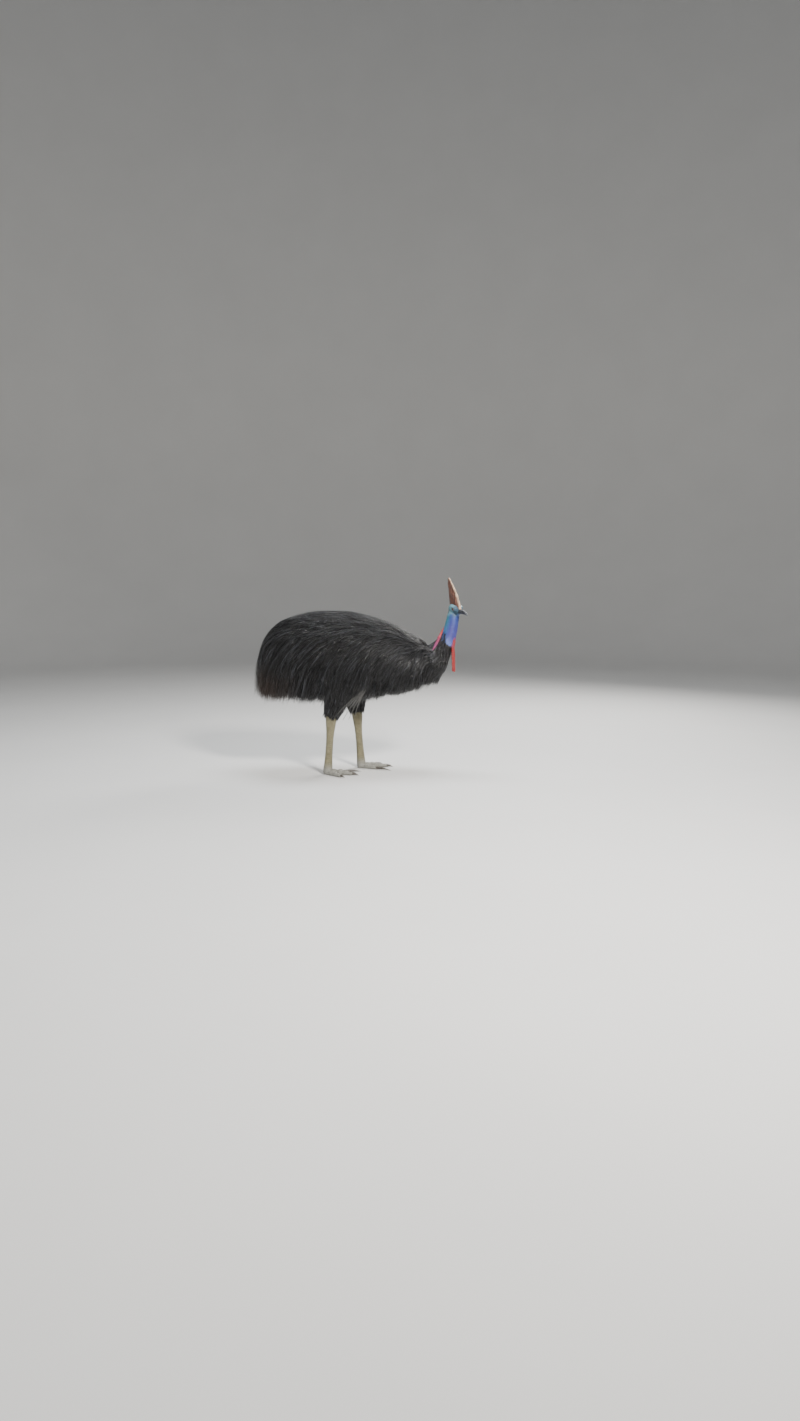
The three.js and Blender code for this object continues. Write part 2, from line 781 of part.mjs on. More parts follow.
// Wing: a small arm with a fan of bare quills that bend down and back
function wingForm(side) {
  const arm = WING_ARM.map(([x, y, z], i) => [x, side * y, z, 12 - 2 * i, 14 - 2 * i]);
  const hand = vec(...WING_ARM[WING_ARM.length - 1]);
  const quills = QUILL_TIPS.map((tip) => {
    const rows = [];
    const steps = 3;
    for (let j = 0; j <= steps; j += 1) {
      const t = j / steps;
      const p = hand.clone().lerp(vec(...tip), t);
      const sag = QUILL_SAG * Math.sin(Math.PI * t);
      const half = lerp(3.4, 1.1, t);
      rows.push([p.x - sag, side * p.y, p.z - sag / 2, half, half]);
    }
    return rod(rows, vec(0, 1, 0), 4);
  });
  return join([rod(arm, UP, 7), ...quills]);
}

// Finishes
const finish = (color, roughness) => new THREE.MeshStandardMaterial({ color, roughness, metalness: 0 });
const plumage = finish(0x14130f, 0.5);
const blueSkin = finish(0x3a4fa0, 0.6);
const redSkin = finish(0xb02a22, 0.6);
const paleSkin = finish(0x6fa3ab, 0.6);
const horn = finish(0x5a3f30, 0.4);
const darkHorn = finish(0x24242a, 0.35);
const eyeGlass = finish(0x7a3a12, 0.1);
const legScale = finish(0x8c8468, 0.6);
const quillHorn = finish(0x1a1816, 0.3);

const bird = new THREE.Group();
bird.position.set(-BIRD_MIDDLE[0], -BIRD_MIDDLE[1], 0);

function add(name, solid, material) {
  const { numProp, vertProperties, triVerts } = largest(solid).getMesh();
  const points = new Float32Array((vertProperties.length / numProp) * 3);
  for (let i = 0; i < points.length / 3; i += 1) {
    for (let k = 0; k < 3; k += 1) points[3 * i + k] = vertProperties[numProp * i + k];
  }
  const geometry = new THREE.BufferGeometry();
  geometry.setAttribute("position", new THREE.BufferAttribute(points, 3));
  geometry.setIndex(new THREE.BufferAttribute(new Uint32Array(triVerts), 1));
  geometry.computeVertexNormals();
  const mesh = new THREE.Mesh(geometry, material);
  mesh.name = name;
  bird.add(mesh);
}

// Plumage of the trunk, parted into tail, torso, breast and neck base
const SIDES = { right: -1, left: 1 };
const bothSides = (form) => Object.values(SIDES).map(form);
const tailCut = cutFaces(TAIL_CUT);
const breastCut = cutFaces(BREAST_CUT);
const footCut = neckCut(NECK_FOOT);
const baseCut = neckCut(NECK_BASE_TOP);
const middleCut = neckCut(NECK_HALFWAY);
const topCut = neckCut(NECK_TOP);

const folds = bothSides(napeFold);
const core = join([bodyForm(0), neckForm(0, NECK_TOP), ...folds]);
const rump = join([core.intersect(tailCut.ahead), ...tailLocks()]);
const middle = join([core.intersect(tailCut.behind).intersect(breastCut.behind), ...torsoLocks()]);
const fore = join([core.intersect(breastCut.ahead).intersect(baseCut.behind), ...neckBaseLocks()]);
const front = fore.subtract(join(bothSides((side) => wattleForm(side, GAP))));
add("tail", rump.intersect(tailCut.ahead), plumage);
add("torso", middle.intersect(tailCut.behind).intersect(breastCut.behind), plumage);
add("breast", front.intersect(breastCut.ahead).intersect(footCut.behind), plumage);
add("neck_base", front.intersect(footCut.ahead).intersect(baseCut.behind), plumage);

// Bare neck and its wattles
const neck = join([neckForm(2, 8), ...folds]);
const neckClear = neckForm(1, 6, GAP);
add("neck_lower", neck.intersect(baseCut.ahead).intersect(middleCut.behind), blueSkin);
add("neck_upper", neck.intersect(middleCut.ahead).intersect(topCut.behind), blueSkin);
for (const [name, side] of Object.entries(SIDES)) {
  add("wattle_" + name, wattleForm(side).subtract(neckClear), redSkin);
}

// Head
const headWhole = join([placed(skull()), neckForm(6, 8)]).intersect(topCut.ahead);
const lids = bothSides((side) => placed(lidRing(side)));
const hollows = bothSides((side) => placed(join([eyeBall(side, GAP), earHole(side)])));
const openings = [placed(inFront(BILL_START)), placed(mouthCorner()), ...hollows];
add("head", join([headWhole, ...lids]).subtract(join(openings)), paleSkin);
add("casque", placed(casqueForm().subtract(join([skull(GAP), billHalf(1, GAP)]))), horn);
const upper = billHalf(1).subtract(join(bothSides(nostril)));
add("bill_upper", placed(upper.intersect(inFront(BILL_START + GAP))), darkHorn);
add("bill_lower", placed(billHalf(-1).intersect(inFront(BILL_START + GAP))), darkHorn);
for (const [name, side] of Object.entries(SIDES)) {
  add("eye_" + name, placed(eyeBall(side)), eyeGlass);
}

// Wings, legs, feet, toes and claws
const bodyClear = bodyForm(GAP);
for (const [name, side] of Object.entries(SIDES)) {
  add("wing_" + name, wingForm(side).subtract(bodyClear), quillHorn);
}
const footTop = cutFaces({ at: [0, 0, FOOT_HEIGHT], facing: [0, 0, -1] });
for (const [name, leg] of Object.entries(LEGS)) {
  const down = vec(...leg.ankle).sub(vec(...leg.hip)).normalize();
  const ankle = cutFaces({ at: leg.ankle, facing: down.toArray() });
  const thigh = join([thighForm(leg).intersect(ankle.behind), ...thighLocks(leg, 31 + leg.side)]);
  add("thigh_" + name, thigh.subtract(bodyClear), plumage);

  const shank = shankForm(leg).intersect(ankle.ahead);
  add("shank_" + name, shank.intersect(footTop.behind), legScale);

  const foot = [shank];
  for (const [toeName, toe] of Object.entries(TOES)) {
    const { along, root } = toeFrame(leg, toe);
    const parting = root.clone().addScaledVector(along, TOE_START);
    const start = cutFaces({ at: parting.toArray(), facing: along.toArray() });
    const form = toeForm(leg, toe).intersect(aboveFloor());
    foot.push(form.intersect(start.behind));
    add("toe_" + toeName + "_" + name, form.intersect(start.ahead), legScale);
    add("claw_" + toeName + "_" + name, clawForm(leg, toe), darkHorn);
  }
  add("foot_" + name, join(foot).intersect(footTop.ahead).intersect(aboveFloor()), legScale);
}

export default bird;
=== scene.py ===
# %% [markdown]
# A life-size southern cassowary, dressed over its solid model. The solids give the size and the
# place of every part. This script makes the finer surfaces over them: skin, feathers, horn, eyes
# and scales, then the floor, the light and the camera.

import bpy
import numpy as np
from mathutils import Euler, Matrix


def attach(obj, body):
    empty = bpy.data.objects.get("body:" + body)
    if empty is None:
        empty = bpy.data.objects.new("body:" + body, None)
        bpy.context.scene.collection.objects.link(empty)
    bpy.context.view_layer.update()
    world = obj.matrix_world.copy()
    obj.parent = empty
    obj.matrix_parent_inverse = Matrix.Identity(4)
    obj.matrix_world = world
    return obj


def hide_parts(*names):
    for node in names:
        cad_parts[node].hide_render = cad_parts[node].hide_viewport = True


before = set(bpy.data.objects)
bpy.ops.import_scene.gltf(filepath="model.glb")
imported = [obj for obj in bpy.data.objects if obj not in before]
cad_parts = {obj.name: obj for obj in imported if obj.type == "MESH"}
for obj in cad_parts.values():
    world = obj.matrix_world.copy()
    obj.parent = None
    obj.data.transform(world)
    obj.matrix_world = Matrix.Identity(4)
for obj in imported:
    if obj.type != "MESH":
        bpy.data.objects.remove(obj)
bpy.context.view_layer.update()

# %% [markdown]
# Every surface is worked out in millimetres from the ground between the feet, as the solids are.
# One function then moves the points to the frame and turns them into metres, so each finished
# object stays at the origin with its place in its mesh.

# %% Place and size
MM = 0.001
BIRD_MIDDLE = np.array([96.0, -8.95, 0.0])  # middle of the bird's box from the ground between the feet
SIDES = {"right": -1, "left": 1}


def placed(points):
    """Metres in the frame: (point - middle of the bird) times 0.001."""
    return (np.asarray(points, float) - BIRD_MIDDLE) * MM


def unplaced(points):
    """Millimetres from the ground between the feet: point times 1000 plus the middle of the bird."""
    return np.asarray(points, float) / MM + BIRD_MIDDLE


def unit(vectors):
    """Each vector divided by its own length."""
    return vectors / np.maximum(np.linalg.norm(vectors, axis=-1, keepdims=True), 1e-9)


def full_turn(count):
    """count angles evenly round a circle, from 0."""
    return np.arange(count) / count * 2 * np.pi


def lerp(a, b, t):
    """a at t 0 and b at t 1, straight between them."""
    return a + (b - a) * t


def ease(t):
    """0 below 0, 1 above 1, and t * t * (3 - 2t) between, which starts and ends level."""
    t = np.clip(t, 0, 1)
    return t * t * (3 - 2 * t)


def through(rows, keys):
    """Rows [key, value, ...] read at many keys: cubic pieces whose slope at a row is that of the line
    from the row before it to the row after it."""
    rows = np.asarray(rows, float)
    last = len(rows) - 1
    at = np.clip(np.asarray(keys, float), rows[0, 0], rows[-1, 0])
    i = np.clip(np.searchsorted(rows[:, 0], at, side="left") - 1, 0, last - 1)
    before, after = np.maximum(i - 1, 0), np.minimum(i + 2, last)
    span = (rows[i + 1, 0] - rows[i, 0])[..., None]
    t = (at[..., None] - rows[i, 0][..., None]) / span
    a, b = rows[i, 1:], rows[i + 1, 1:]
    slope_a = (b - rows[before, 1:]) / (rows[i + 1, 0] - rows[before, 0])[..., None] * span
    slope_b = (rows[after, 1:] - a) / (rows[after, 0] - rows[i, 0])[..., None] * span
    part_a = (2 * t**3 - 3 * t**2 + 1) * a + (t**3 - 2 * t**2 + t) * slope_a
    return part_a + (3 * t**2 - 2 * t**3) * b + (t**3 - t**2) * slope_b


def ripple(points, size, seed, waves=8):
    """Soft noise of about -1 to 1: the sum of waves of about that wavelength in random directions,
    divided by the root of their number."""
    draw = np.random.default_rng(seed)
    ways = unit(draw.normal(size=(waves, 3))) * (2 * np.pi / size) * draw.uniform(0.7, 1.5, (waves, 1))
    return np.sin(points @ ways.T + draw.uniform(0, 6.28, waves)).sum(-1) / np.sqrt(waves)


print("keys of a test row", through([[0, 0], [1, 1], [2, 4]], np.array([0.5, 1.5])).ravel())

# %% [markdown]
# A tube is the simplest closed form: rings of points along a path, with both ends shut on their
# middle. It could be a curve with a bevel, but a grid of numbers lets each ring have its own
# width, height and squareness, which bone and muscle need.

# %% Tubes and meshes


def new_piece(name, points, triangles):
    """A mesh object from points in millimetres and an array of triangles."""
    mesh = bpy.data.meshes.new(name)
    mesh.vertices.add(len(points))
    mesh.vertices.foreach_set("co", placed(points).astype(np.float32).ravel())
    mesh.loops.add(triangles.size)
    mesh.loops.foreach_set("vertex_index", triangles.astype(np.int32).ravel())
    mesh.polygons.add(len(triangles))
    mesh.polygons.foreach_set("loop_start", np.arange(0, triangles.size, 3, dtype=np.int32))
    mesh.polygons.foreach_set("use_smooth", np.ones(len(triangles), bool))
    mesh.update(calc_edges=True)
    piece = bpy.data.objects.new(name, mesh)
    bpy.context.scene.collection.objects.link(piece)
    return piece


def halves(a, b, c, d):
    """Two triangles for each face with the corners a, b, c and d."""
    return np.concatenate([np.stack([a, b, c], -1), np.stack([a, c, d], -1)]).reshape(-1, 3)


def tube_triangles(rows, count):
    """Triangles of a tube of rows rings of count points, then one middle point at each end."""
    i, j = np.meshgrid(np.arange(rows - 1), np.arange(count), indexing="ij")
    k = (j + 1) % count
    a, b, c, d = i * count + j, i * count + k, (i + 1) * count + k, (i + 1) * count + j
    ring = np.arange(count)
    following = (ring + 1) % count
    start = np.stack([np.full(count, rows * count), following, ring], -1)
    far = (rows - 1) * count
    end = np.stack([np.full(count, rows * count + 1), far + ring, far + following], -1)
    return np.concatenate([halves(a, b, c, d), start, end])


def enclosed(points, triangles):
    """Six times the volume inside closed triangles, which is below 0 where they face inwards: the sum
    of first corner x second corner . third corner."""
    corners = points[triangles]
    return (np.cross(corners[:, 0], corners[:, 1]) * corners[:, 2]).sum()


def outward(points, triangles):
    """The points, and the triangles turned to face out."""
    return points, triangles if enclosed(points, triangles) > 0 else triangles[:, ::-1]


def tube(rings):
    """Points and triangles of a closed tube through rings, an array of rows by points by 3."""
    points = np.concatenate([rings.reshape(-1, 3), rings[:1].mean(1), rings[-1:].mean(1)])
    return outward(points, tube_triangles(*rings.shape[:2]))


print("a tube of 3 rings of 4 has", len(tube_triangles(3, 4)), "triangles")

# %% [markdown]
# Most tubes here have oval rings. An oval whose power is 2 is an ellipse, and a higher power
# makes it squarer. A rod sets its rings square to its path, so that it keeps its thickness
# round a bend.

# %% Ovals and rods


def ovals(centres, sideways, upwards, half_width, half_height, count, squareness=2.0):
    """Rings round centres: |across / width|^n + |up / height|^n = 1 for squareness n."""
    turn = full_turn(count)
    c, s = np.cos(turn), np.sin(turn)
    reach = (np.abs(c) ** squareness + np.abs(s) ** squareness) ** (-1 / squareness)
    across = np.asarray(half_width, float)[:, None] * (c * reach)
    up = np.asarray(half_height, float)[:, None] * (s * reach)
    return centres[:, None] + across[..., None] * sideways[:, None] + up[..., None] * upwards[:, None]


def rod_rings(rows, up, count, squareness=2.0):
    """Rings of a rod through rows x, y, z, half width, half height, square to its path."""
    rows = np.asarray(rows, float)
    centres = rows[:, :3]
    along = unit(np.gradient(centres, axis=0))
    sideways = unit(np.cross(along, up))
    upwards = np.cross(sideways, along)
    return ovals(centres, sideways, upwards, rows[:, 3], rows[:, 4], count, squareness)


def joined(forms):
    """Several (points, triangles) as one."""
    starts = np.cumsum([0] + [len(points) for points, _ in forms[:-1]])
    triangles = np.concatenate([faces + start for (_, faces), start in zip(forms, starts)])
    return np.concatenate([points for points, _ in forms]), triangles


print("a straight rod has rings of shape", rod_rings([[0, 0, 0, 1, 1], [0, 0, 5, 1, 1]], [1, 0, 0], 8).shape)

# %% [markdown]
# Living skin has no seams where a neck leaves a body. Several closed forms that overlap are
# fused by a Remesh modifier, which wraps them in one even net, and a Smooth modifier rounds
# the creases. Sculpting by hand would do it too, but here the result must be the same each time.

# %% Fused skins


def fused(name, forms, voxel, relax):
    """One closed skin round overlapping forms, with faces of about voxel millimetres."""
    rough = new_piece(name + "_forms", *joined(forms))
    remesh = rough.modifiers.new("net", "REMESH")
    remesh.mode = "VOXEL"
    remesh.voxel_size = voxel * MM
    smooth = rough.modifiers.new("relax", "SMOOTH")
    smooth.iterations = relax
    graph = bpy.context.evaluated_depsgraph_get()
    mesh = bpy.data.meshes.new_from_object(rough.evaluated_get(graph))
    bpy.data.objects.remove(rough)
    mesh.name = name
    mesh.polygons.foreach_set("use_smooth", np.ones(len(mesh.polygons), bool))
    skin = bpy.data.objects.new(name, mesh)
    bpy.context.scene.collection.objects.link(skin)
    return skin


def surface(piece):
    """Points in millimetres and normals of a piece's mesh."""
    mesh = piece.data
    points = np.empty(len(mesh.vertices) * 3, np.float32)
    normals = np.empty(len(mesh.vertices) * 3, np.float32)
    mesh.vertices.foreach_get("co", points)
    mesh.vertex_normals.foreach_get("vector", normals)
    return unplaced(points.reshape(-1, 3)), normals.reshape(-1, 3).astype(float)


def reshape(piece, points):
    """Moves a piece's points, given in millimetres."""
    piece.data.vertices.foreach_set("co", placed(points).astype(np.float32).ravel())
    piece.data.update()


def mark(piece, name, values):
    """Keeps one number for each point of a piece, for its material to read."""
    attribute = piece.data.attributes.new(name, "FLOAT", "POINT")
    attribute.data.foreach_set("value", np.asarray(values, np.float32))


def finish_piece(piece, material, slot, *nodes):
    """Gives a piece its material, lets it ride, and hides the solids that it stands for. The slot is not
    used.
    """
    piece.data.materials.clear()
    piece.data.materials.append(material)
    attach(piece, "root")
    if nodes:
        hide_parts(*nodes)
    print(piece.name, len(piece.data.polygons), "faces")


# %% [markdown]
# Materials here are built from nodes by a few short functions. An input takes either a socket or
# a fixed value, which keeps the longer recipes further on short enough to read.

# %% Node helpers


def feed(tree, value, socket):
    """Links a socket to an input, or types a fixed value on it."""
    if isinstance(value, bpy.types.NodeSocket):
        tree.links.new(value, socket)
    else:
        socket.default_value = value


def worked(tree, operation, *given, kind="ShaderNodeMath"):
    """One step of arithmetic on sockets and fixed values."""
    node = tree.nodes.new(kind)
    node.operation = operation
    for value, socket in zip(given, node.inputs):
        feed(tree, value, socket)
    return node.outputs[0]


def noise(tree, place, scale, detail):
    """Noise of 0..1 at a place, with detail layers of ever finer waves."""
    node = tree.nodes.new("ShaderNodeTexNoise")
    node.inputs["Detail"].default_value = detail
    tree.links.new(place, node.inputs["Vector"])
    feed(tree, scale, node.inputs["Scale"])
    return node.outputs["Fac"]


def object_place(tree):
    """The socket that gives a point's place on the piece, in metres."""
    return tree.nodes.new("ShaderNodeTexCoord").outputs["Object"]


print("node helpers", [feed.__name__, worked.__name__, noise.__name__])

# %% [markdown]
# Skins, horn and feathers share three small patterns. Mottle varies a colour softly, grain is a
# net of tiny cells for pores and scales, and streaks are long fibres for horn. Each is a node
# group, built once and used by several materials with their own values.

# %% Shared patterns


def pattern_group(name, inputs, outputs):
    """A node group with float inputs (name, value) and float outputs."""
    group = bpy.data.node_groups.new(name, "ShaderNodeTree")
    for label, value in inputs:
        socket = group.interface.new_socket(label, in_out="INPUT", socket_type="NodeSocketFloat")
        socket.default_value = value
    for label in outputs:
        group.interface.new_socket(label, in_out="OUTPUT", socket_type="NodeSocketFloat")
    return group, group.nodes.new("NodeGroupInput"), group.nodes.new("NodeGroupOutput")


def make_mottle():
    """Noise spread away from a half: (noise - 0.5) * contrast + 0.5."""
    group, given, result = pattern_group("mottle", [("Scale", 60.0), ("Contrast", 1.0)], ["Value"])
    spots = noise(group, object_place(group), given.outputs["Scale"], 5.0)
    centred = worked(group, "SUBTRACT", spots, 0.5)
    spread = worked(group, "MULTIPLY_ADD", centred, given.outputs["Contrast"], 0.5)
    group.links.new(spread, result.inputs["Value"])
    return group


def make_grain():
    """Height of rounded cells: the distance to the edge of each cell of a Voronoi net, softly held
    under 0.12."""
    group, given, result = pattern_group("grain", [("Scale", 400.0), ("Uneven", 1.0)], ["Height"])
    cells = group.nodes.new("ShaderNodeTexVoronoi")
    cells.feature = "DISTANCE_TO_EDGE"
    group.links.new(object_place(group), cells.inputs["Vector"])
    group.links.new(given.outputs["Scale"], cells.inputs["Scale"])
    group.links.new(given.outputs["Uneven"], cells.inputs["Randomness"])
    rounded = worked(group, "SMOOTH_MIN", cells.outputs["Distance"], 0.12, 0.1)
    group.links.new(rounded, result.inputs["Height"])
    return group


def make_streaks():
    """Noise squeezed across and drawn out along one axis, for fibres."""
    group, given, result = pattern_group("streaks", [("Scale", 90.0), ("Squeeze", 0.12)], ["Value"])
    squeeze = group.nodes.new("ShaderNodeCombineXYZ")
    squeeze.inputs["X"].default_value = 1.0
    squeeze.inputs["Y"].default_value = 1.0
    group.links.new(given.outputs["Squeeze"], squeeze.inputs["Z"])
    way = squeeze.outputs[0]
    drawn = worked(group, "MULTIPLY", object_place(group), way, kind="ShaderNodeVectorMath")
    group.links.new(noise(group, drawn, given.outputs["Scale"], 4.0), result.inputs["Value"])
    return group


PATTERNS = {"mottle": make_mottle(), "grain": make_grain(), "streaks": make_streaks()}
print("patterns", sorted(PATTERNS))

# %% [markdown]
# A material starts as a plain Principled shader whose fixed numbers are typed on its own
# sockets. Small helpers then add a pattern, a marking read from the mesh, a blend of two
# colours and a bump, so that each finish below reads as a short recipe.

# %% Material helpers


def new_material(name, **fixed):
    """A material with one Principled shader, its fixed sockets set."""
    material = bpy.data.materials.new(name)
    material.use_nodes = True
    shader = material.node_tree.nodes["Principled BSDF"]
    for label, value in fixed.items():
        shader.inputs[label.replace("_", " ")].default_value = value
    return material, material.node_tree, shader


def pattern(tree, name, **values):
    """Places a shared pattern and returns its one output socket."""
    node = tree.nodes.new("ShaderNodeGroup")
    node.node_tree = PATTERNS[name]
    for label, value in values.items():
        node.inputs[label].default_value = value
    return node.outputs[0]


def marking(tree, name):
    """The socket of a number kept on the mesh."""
    node = tree.nodes.new("ShaderNodeAttribute")
    node.attribute_name = name
    return node.outputs["Fac"]


def blend(tree, factor, low, high):
    """low where the factor is 0 and high where it is 1; each is a colour or a socket."""
    node = tree.nodes.new("ShaderNodeMix")
    node.data_type = "RGBA"
    tree.links.new(factor, node.inputs["Factor"])
    for label, value in (("A", low), ("B", high)):
        socket = next(s for s in node.inputs if s.name == label and s.type == "RGBA")
        feed(tree, (*value, 1.0) if isinstance(value, tuple) else value, socket)
    return next(s for s in node.outputs if s.type == "RGBA")


def sloped(tree, value, low, high, start=0.0, end=1.0):
    """A number that runs from start at low to end at high, and stays there outside."""
    node = tree.nodes.new("ShaderNodeMapRange")
    node.interpolation_type = "SMOOTHSTEP"
    node.inputs["From Min"].default_value = low
    node.inputs["From Max"].default_value = high
    node.inputs["To Min"].default_value = start
    node.inputs["To Max"].default_value = end
    tree.links.new(value, node.inputs["Value"])
    return node.outputs["Result"]


def band(tree, value, low, high, under, over, most=1.0):
    """The colour under where a number is below low, with over mixed in by the share most above high."""
    return blend(tree, sloped(tree, value, low, high, 0.0, most), under, over)


def sum_of(tree, a, b, share):
    """a plus b times share."""
    return worked(tree, "MULTIPLY_ADD", b, share, a)


def paint(tree, shader, colour):
    """Feeds a colour to the shader."""
    tree.links.new(colour, shader.inputs["Base Color"])


def bump(tree, shader, height, distance, strength=1.0):
    """Feeds a height in metres times distance to the shader's normal."""
    node = tree.nodes.new("ShaderNodeBump")
    node.inputs["Distance"].default_value = distance
    node.inputs["Strength"].default_value = strength
    tree.links.new(height, node.inputs["Height"])
    tree.links.new(node.outputs["Normal"], shader.inputs["Normal"])


def mottled_finish(name, scale, contrast, low, high, **fixed):
    """A material that is mottled between two colours, for a piece that needs no more."""
    material, tree, shader = new_material(name, **fixed)
    tone = pattern(tree, "mottle", Scale=scale, Contrast=contrast)
    paint(tree, shader, blend(tree, tone, low, high))
    return material, tree, shader, tone


print("materials before the first finish", len(bpy.data.materials))

# %% [markdown]
# The trunk is a rounded form whose axis rises and falls, squarer than an egg because folded
# thighs and ribs fill it out. Under the coat it is only dark skin, so it is made plain, at the
# depth of the solid core, and its formula is used again to lay the feathers.

# %% Shape of the trunk
BODY_MIDDLE = -30.0  # X of the widest section
BODY_BACK = 505.0  # from there to the rump
BODY_FRONT = 604.0
BODY_HALF_WIDTH = 208.0
BODY_RISE = 245.0  # from the axis to the back
BODY_DROP = 235.0
BODY_SQUARENESS = 2.3
BODY_TIP = 0.985  # share of the length that the first and last ring reach
BODY_AXIS = [[-560, 772], [-420, 800], [-30, 800], [230, 768], [400, 733], [500, 738]]


def axis_height(x):
    """Height of the trunk's axis."""
    return through(BODY_AXIS, x)[..., 0]


def trunk_skin(x, turn, out=0.0):
    """Point at X, turned round the axis from the top towards +Y: the section is the oval
    |side / width|^n + |rise / height|^n = 1, shrunk by (1 - |x / length|^n)^(1/n)."""
    n = BODY_SQUARENESS
    length = np.where(x < BODY_MIDDLE, BODY_BACK, BODY_FRONT) + out
    height = np.where(np.cos(turn) > 0, BODY_RISE, BODY_DROP) + out
    shrink = np.maximum(1 - np.abs((x - BODY_MIDDLE) / length) ** n, 0) ** (1 / n)
    side = np.abs(np.sin(turn) / (BODY_HALF_WIDTH + out)) ** n
    reach = shrink * (side + np.abs(np.cos(turn) / height) ** n) ** (-1 / n)
    return np.stack([x + 0 * turn, reach * np.sin(turn), axis_height(x) + reach * np.cos(turn)], -1)


def trunk_form(rows=60, count=64):
    """The whole trunk as a tube, its rings closer towards the ends."""
    sweep = np.sin(np.pi / 2 * np.linspace(-BODY_TIP, BODY_TIP, rows))
    x = BODY_MIDDLE + sweep * np.where(sweep < 0, BODY_BACK, BODY_FRONT)
    return tube(trunk_skin(x[:, None], full_turn(count)[None, :]))


def trunk_distance(p):
    """Distance out of the trunk and the way out: with r the n-th root of the sum of
    |offset / size|^n, the distance is (r - 1) over the length of r's slope."""
    n = BODY_SQUARENESS
    offset = np.stack([p[:, 0] - BODY_MIDDLE, p[:, 1], p[:, 2] - axis_height(p[:, 0])], -1)
    length = np.where(offset[:, 0] < 0, BODY_BACK, BODY_FRONT)
    height = np.where(offset[:, 2] > 0, BODY_RISE, BODY_DROP)
    size = np.stack([length, np.full(len(p), BODY_HALF_WIDTH), height], -1)
    level = np.maximum((np.abs(offset / size) ** n).sum(-1), 1e-6)
    slope = np.sign(offset) * np.abs(offset / size) ** (n - 1) / size * level[:, None] ** (1 / n - 1)
    steep = np.linalg.norm(slope, axis=-1)
    return (level ** (1 / n) - 1) / np.maximum(steep, 1e-9), unit(slope)


print("trunk half way up the back", trunk_skin(np.array([0.0]), np.array([0.0])))

# %% [markdown]
# The neck rises from the breast in a bow and turns to the bird's right on the way up, so that
# the head looks out of the side view. Its sections are ovals on a curve: each has a centre, a
# depth, a width and a turn, and all of them are read from one short table.

# %% Shape of the neck
NECK = [  # key, middle X, Y and Z, half depth, half width and turn in degrees
    [0, 462, 0, 735, 118, 112, 0],
    [1, 564, 0, 738, 108, 98, 4],
    [2, 618, 0, 788, 79, 75, 10],
    [3, 655, -1, 842, 60, 57, 18],
    [4, 682, -2, 896, 52, 47, 26],
    [5, 700, -3, 950, 46, 42, 34],
    [6, 711, -3, 1000, 43, 39, 42],
    [7, 719, 0, 1045, 40, 36, 50],
    [8, 724, 2, 1082, 30, 30, 60],
]
NECK_SQUARENESS = 2.1
NECK_BASE_TOP = 3.5  # key where the black plumage ends
NAPE_TOP = 5.1  # keys of the two ends of the red fold
NAPE_FOOT = 1.7


def neck_frames(keys):
    """Centre, way up the neck, way to its front, way to its left, depth and width at many keys. The
    front starts square to the curve in the middle plane and is turned about the curve."""
    keys = np.asarray(keys, float)
    table = through(NECK, keys)
    along = unit(through(NECK, keys + 0.02)[:, :3] - through(NECK, keys - 0.02)[:, :3])
    left = np.broadcast_to([0.0, 1.0, 0.0], along.shape)
    front = unit(np.cross(left, along))
    turn = np.radians(table[:, 5])[:, None]
    facing = front * np.cos(turn) - left * np.sin(turn)
    leftward = unit(np.cross(along, facing))
    return table[:, :3], along, facing, leftward, table[:, 3], table[:, 4]


def neck_form(start, end, rows, count=48, out=0.0):
    """The neck between two keys as a tube."""
    centre, _, facing, leftward, depth, width = neck_frames(np.linspace(start, end, rows))
    return tube(ovals(centre, facing, leftward, depth + out, width + out, count, NECK_SQUARENESS))


NECK_KEYS = np.linspace(0.4, 7.6, 73)  # of the balls that stand for the neck


def neck_distance(p):
    """Distance out of the neck, the way out and the key: the nearest of many balls on its curve,
    each with the neck's own size in that direction."""
    centre, _, facing, leftward, depth, width = neck_frames(NECK_KEYS)
    away = p[:, None] - centre[None]
    length = np.linalg.norm(away, axis=-1)
    forward = np.abs((away * facing[None]).sum(-1)) / depth
    across = np.abs((away * leftward[None]).sum(-1)) / width
    level = np.sqrt(forward**2 + across**2) / np.maximum(np.hypot(forward * depth, across * width), 1e-6)
    gap = length - 1 / np.maximum(level, 1e-6)
    best = gap.argmin(1)
    row = np.arange(len(p))
    return gap[row, best], unit(away[row, best]), NECK_KEYS[best]


print("neck length", np.linalg.norm(np.diff(neck_frames(NECK_KEYS)[0], axis=0), axis=1).sum())

# %% [markdown]
# Legs carry the whole weight, so they are drawn as the solids have them: a feathered thigh
# that narrows to the ankle, a long scaled shank and three toes. The two legs share one table of
# sizes and differ only in where hip, ankle and foot stand.

# %% Shape of the legs
# Each row is the share of the way down, then half the size to the front and to the side.
THIGH = [[0, 92, 74], [0.3, 86, 68], [0.6, 71, 56], [0.82, 57, 44], [1, 44, 36]]
SHANK = [
    [-0.06, 37, 31], [0.06, 36, 30], [0.2, 30, 27], [0.32, 25.5, 24], [0.5, 23.5, 22.5],
    [0.72, 25, 24], [0.86, 28.5, 28], [0.94, 31, 31], [1, 28, 28],
]
LEGS = {
    "right": {
        "side": -1, "heading": -14,
        "hip": [5, -104, 660], "ankle": [-84, -106, 388], "foot": [-112, -110, 0],
    },
    "left": {
        "side": 1, "heading": 4,
        "hip": [35, 104, 660], "ankle": [74, 106, 394], "foot": [104, 110, 0],
    },
}
TOES = {
    "inner": {"spread": -31, "length": 116, "thick": 15, "claw": 112},
    "middle": {"spread": 0, "length": 168, "thick": 18, "claw": 48},
    "outer": {"spread": 30, "length": 134, "thick": 15, "claw": 40},
}
TOE_SHIFT = 13  # sideways step between the roots of two toes


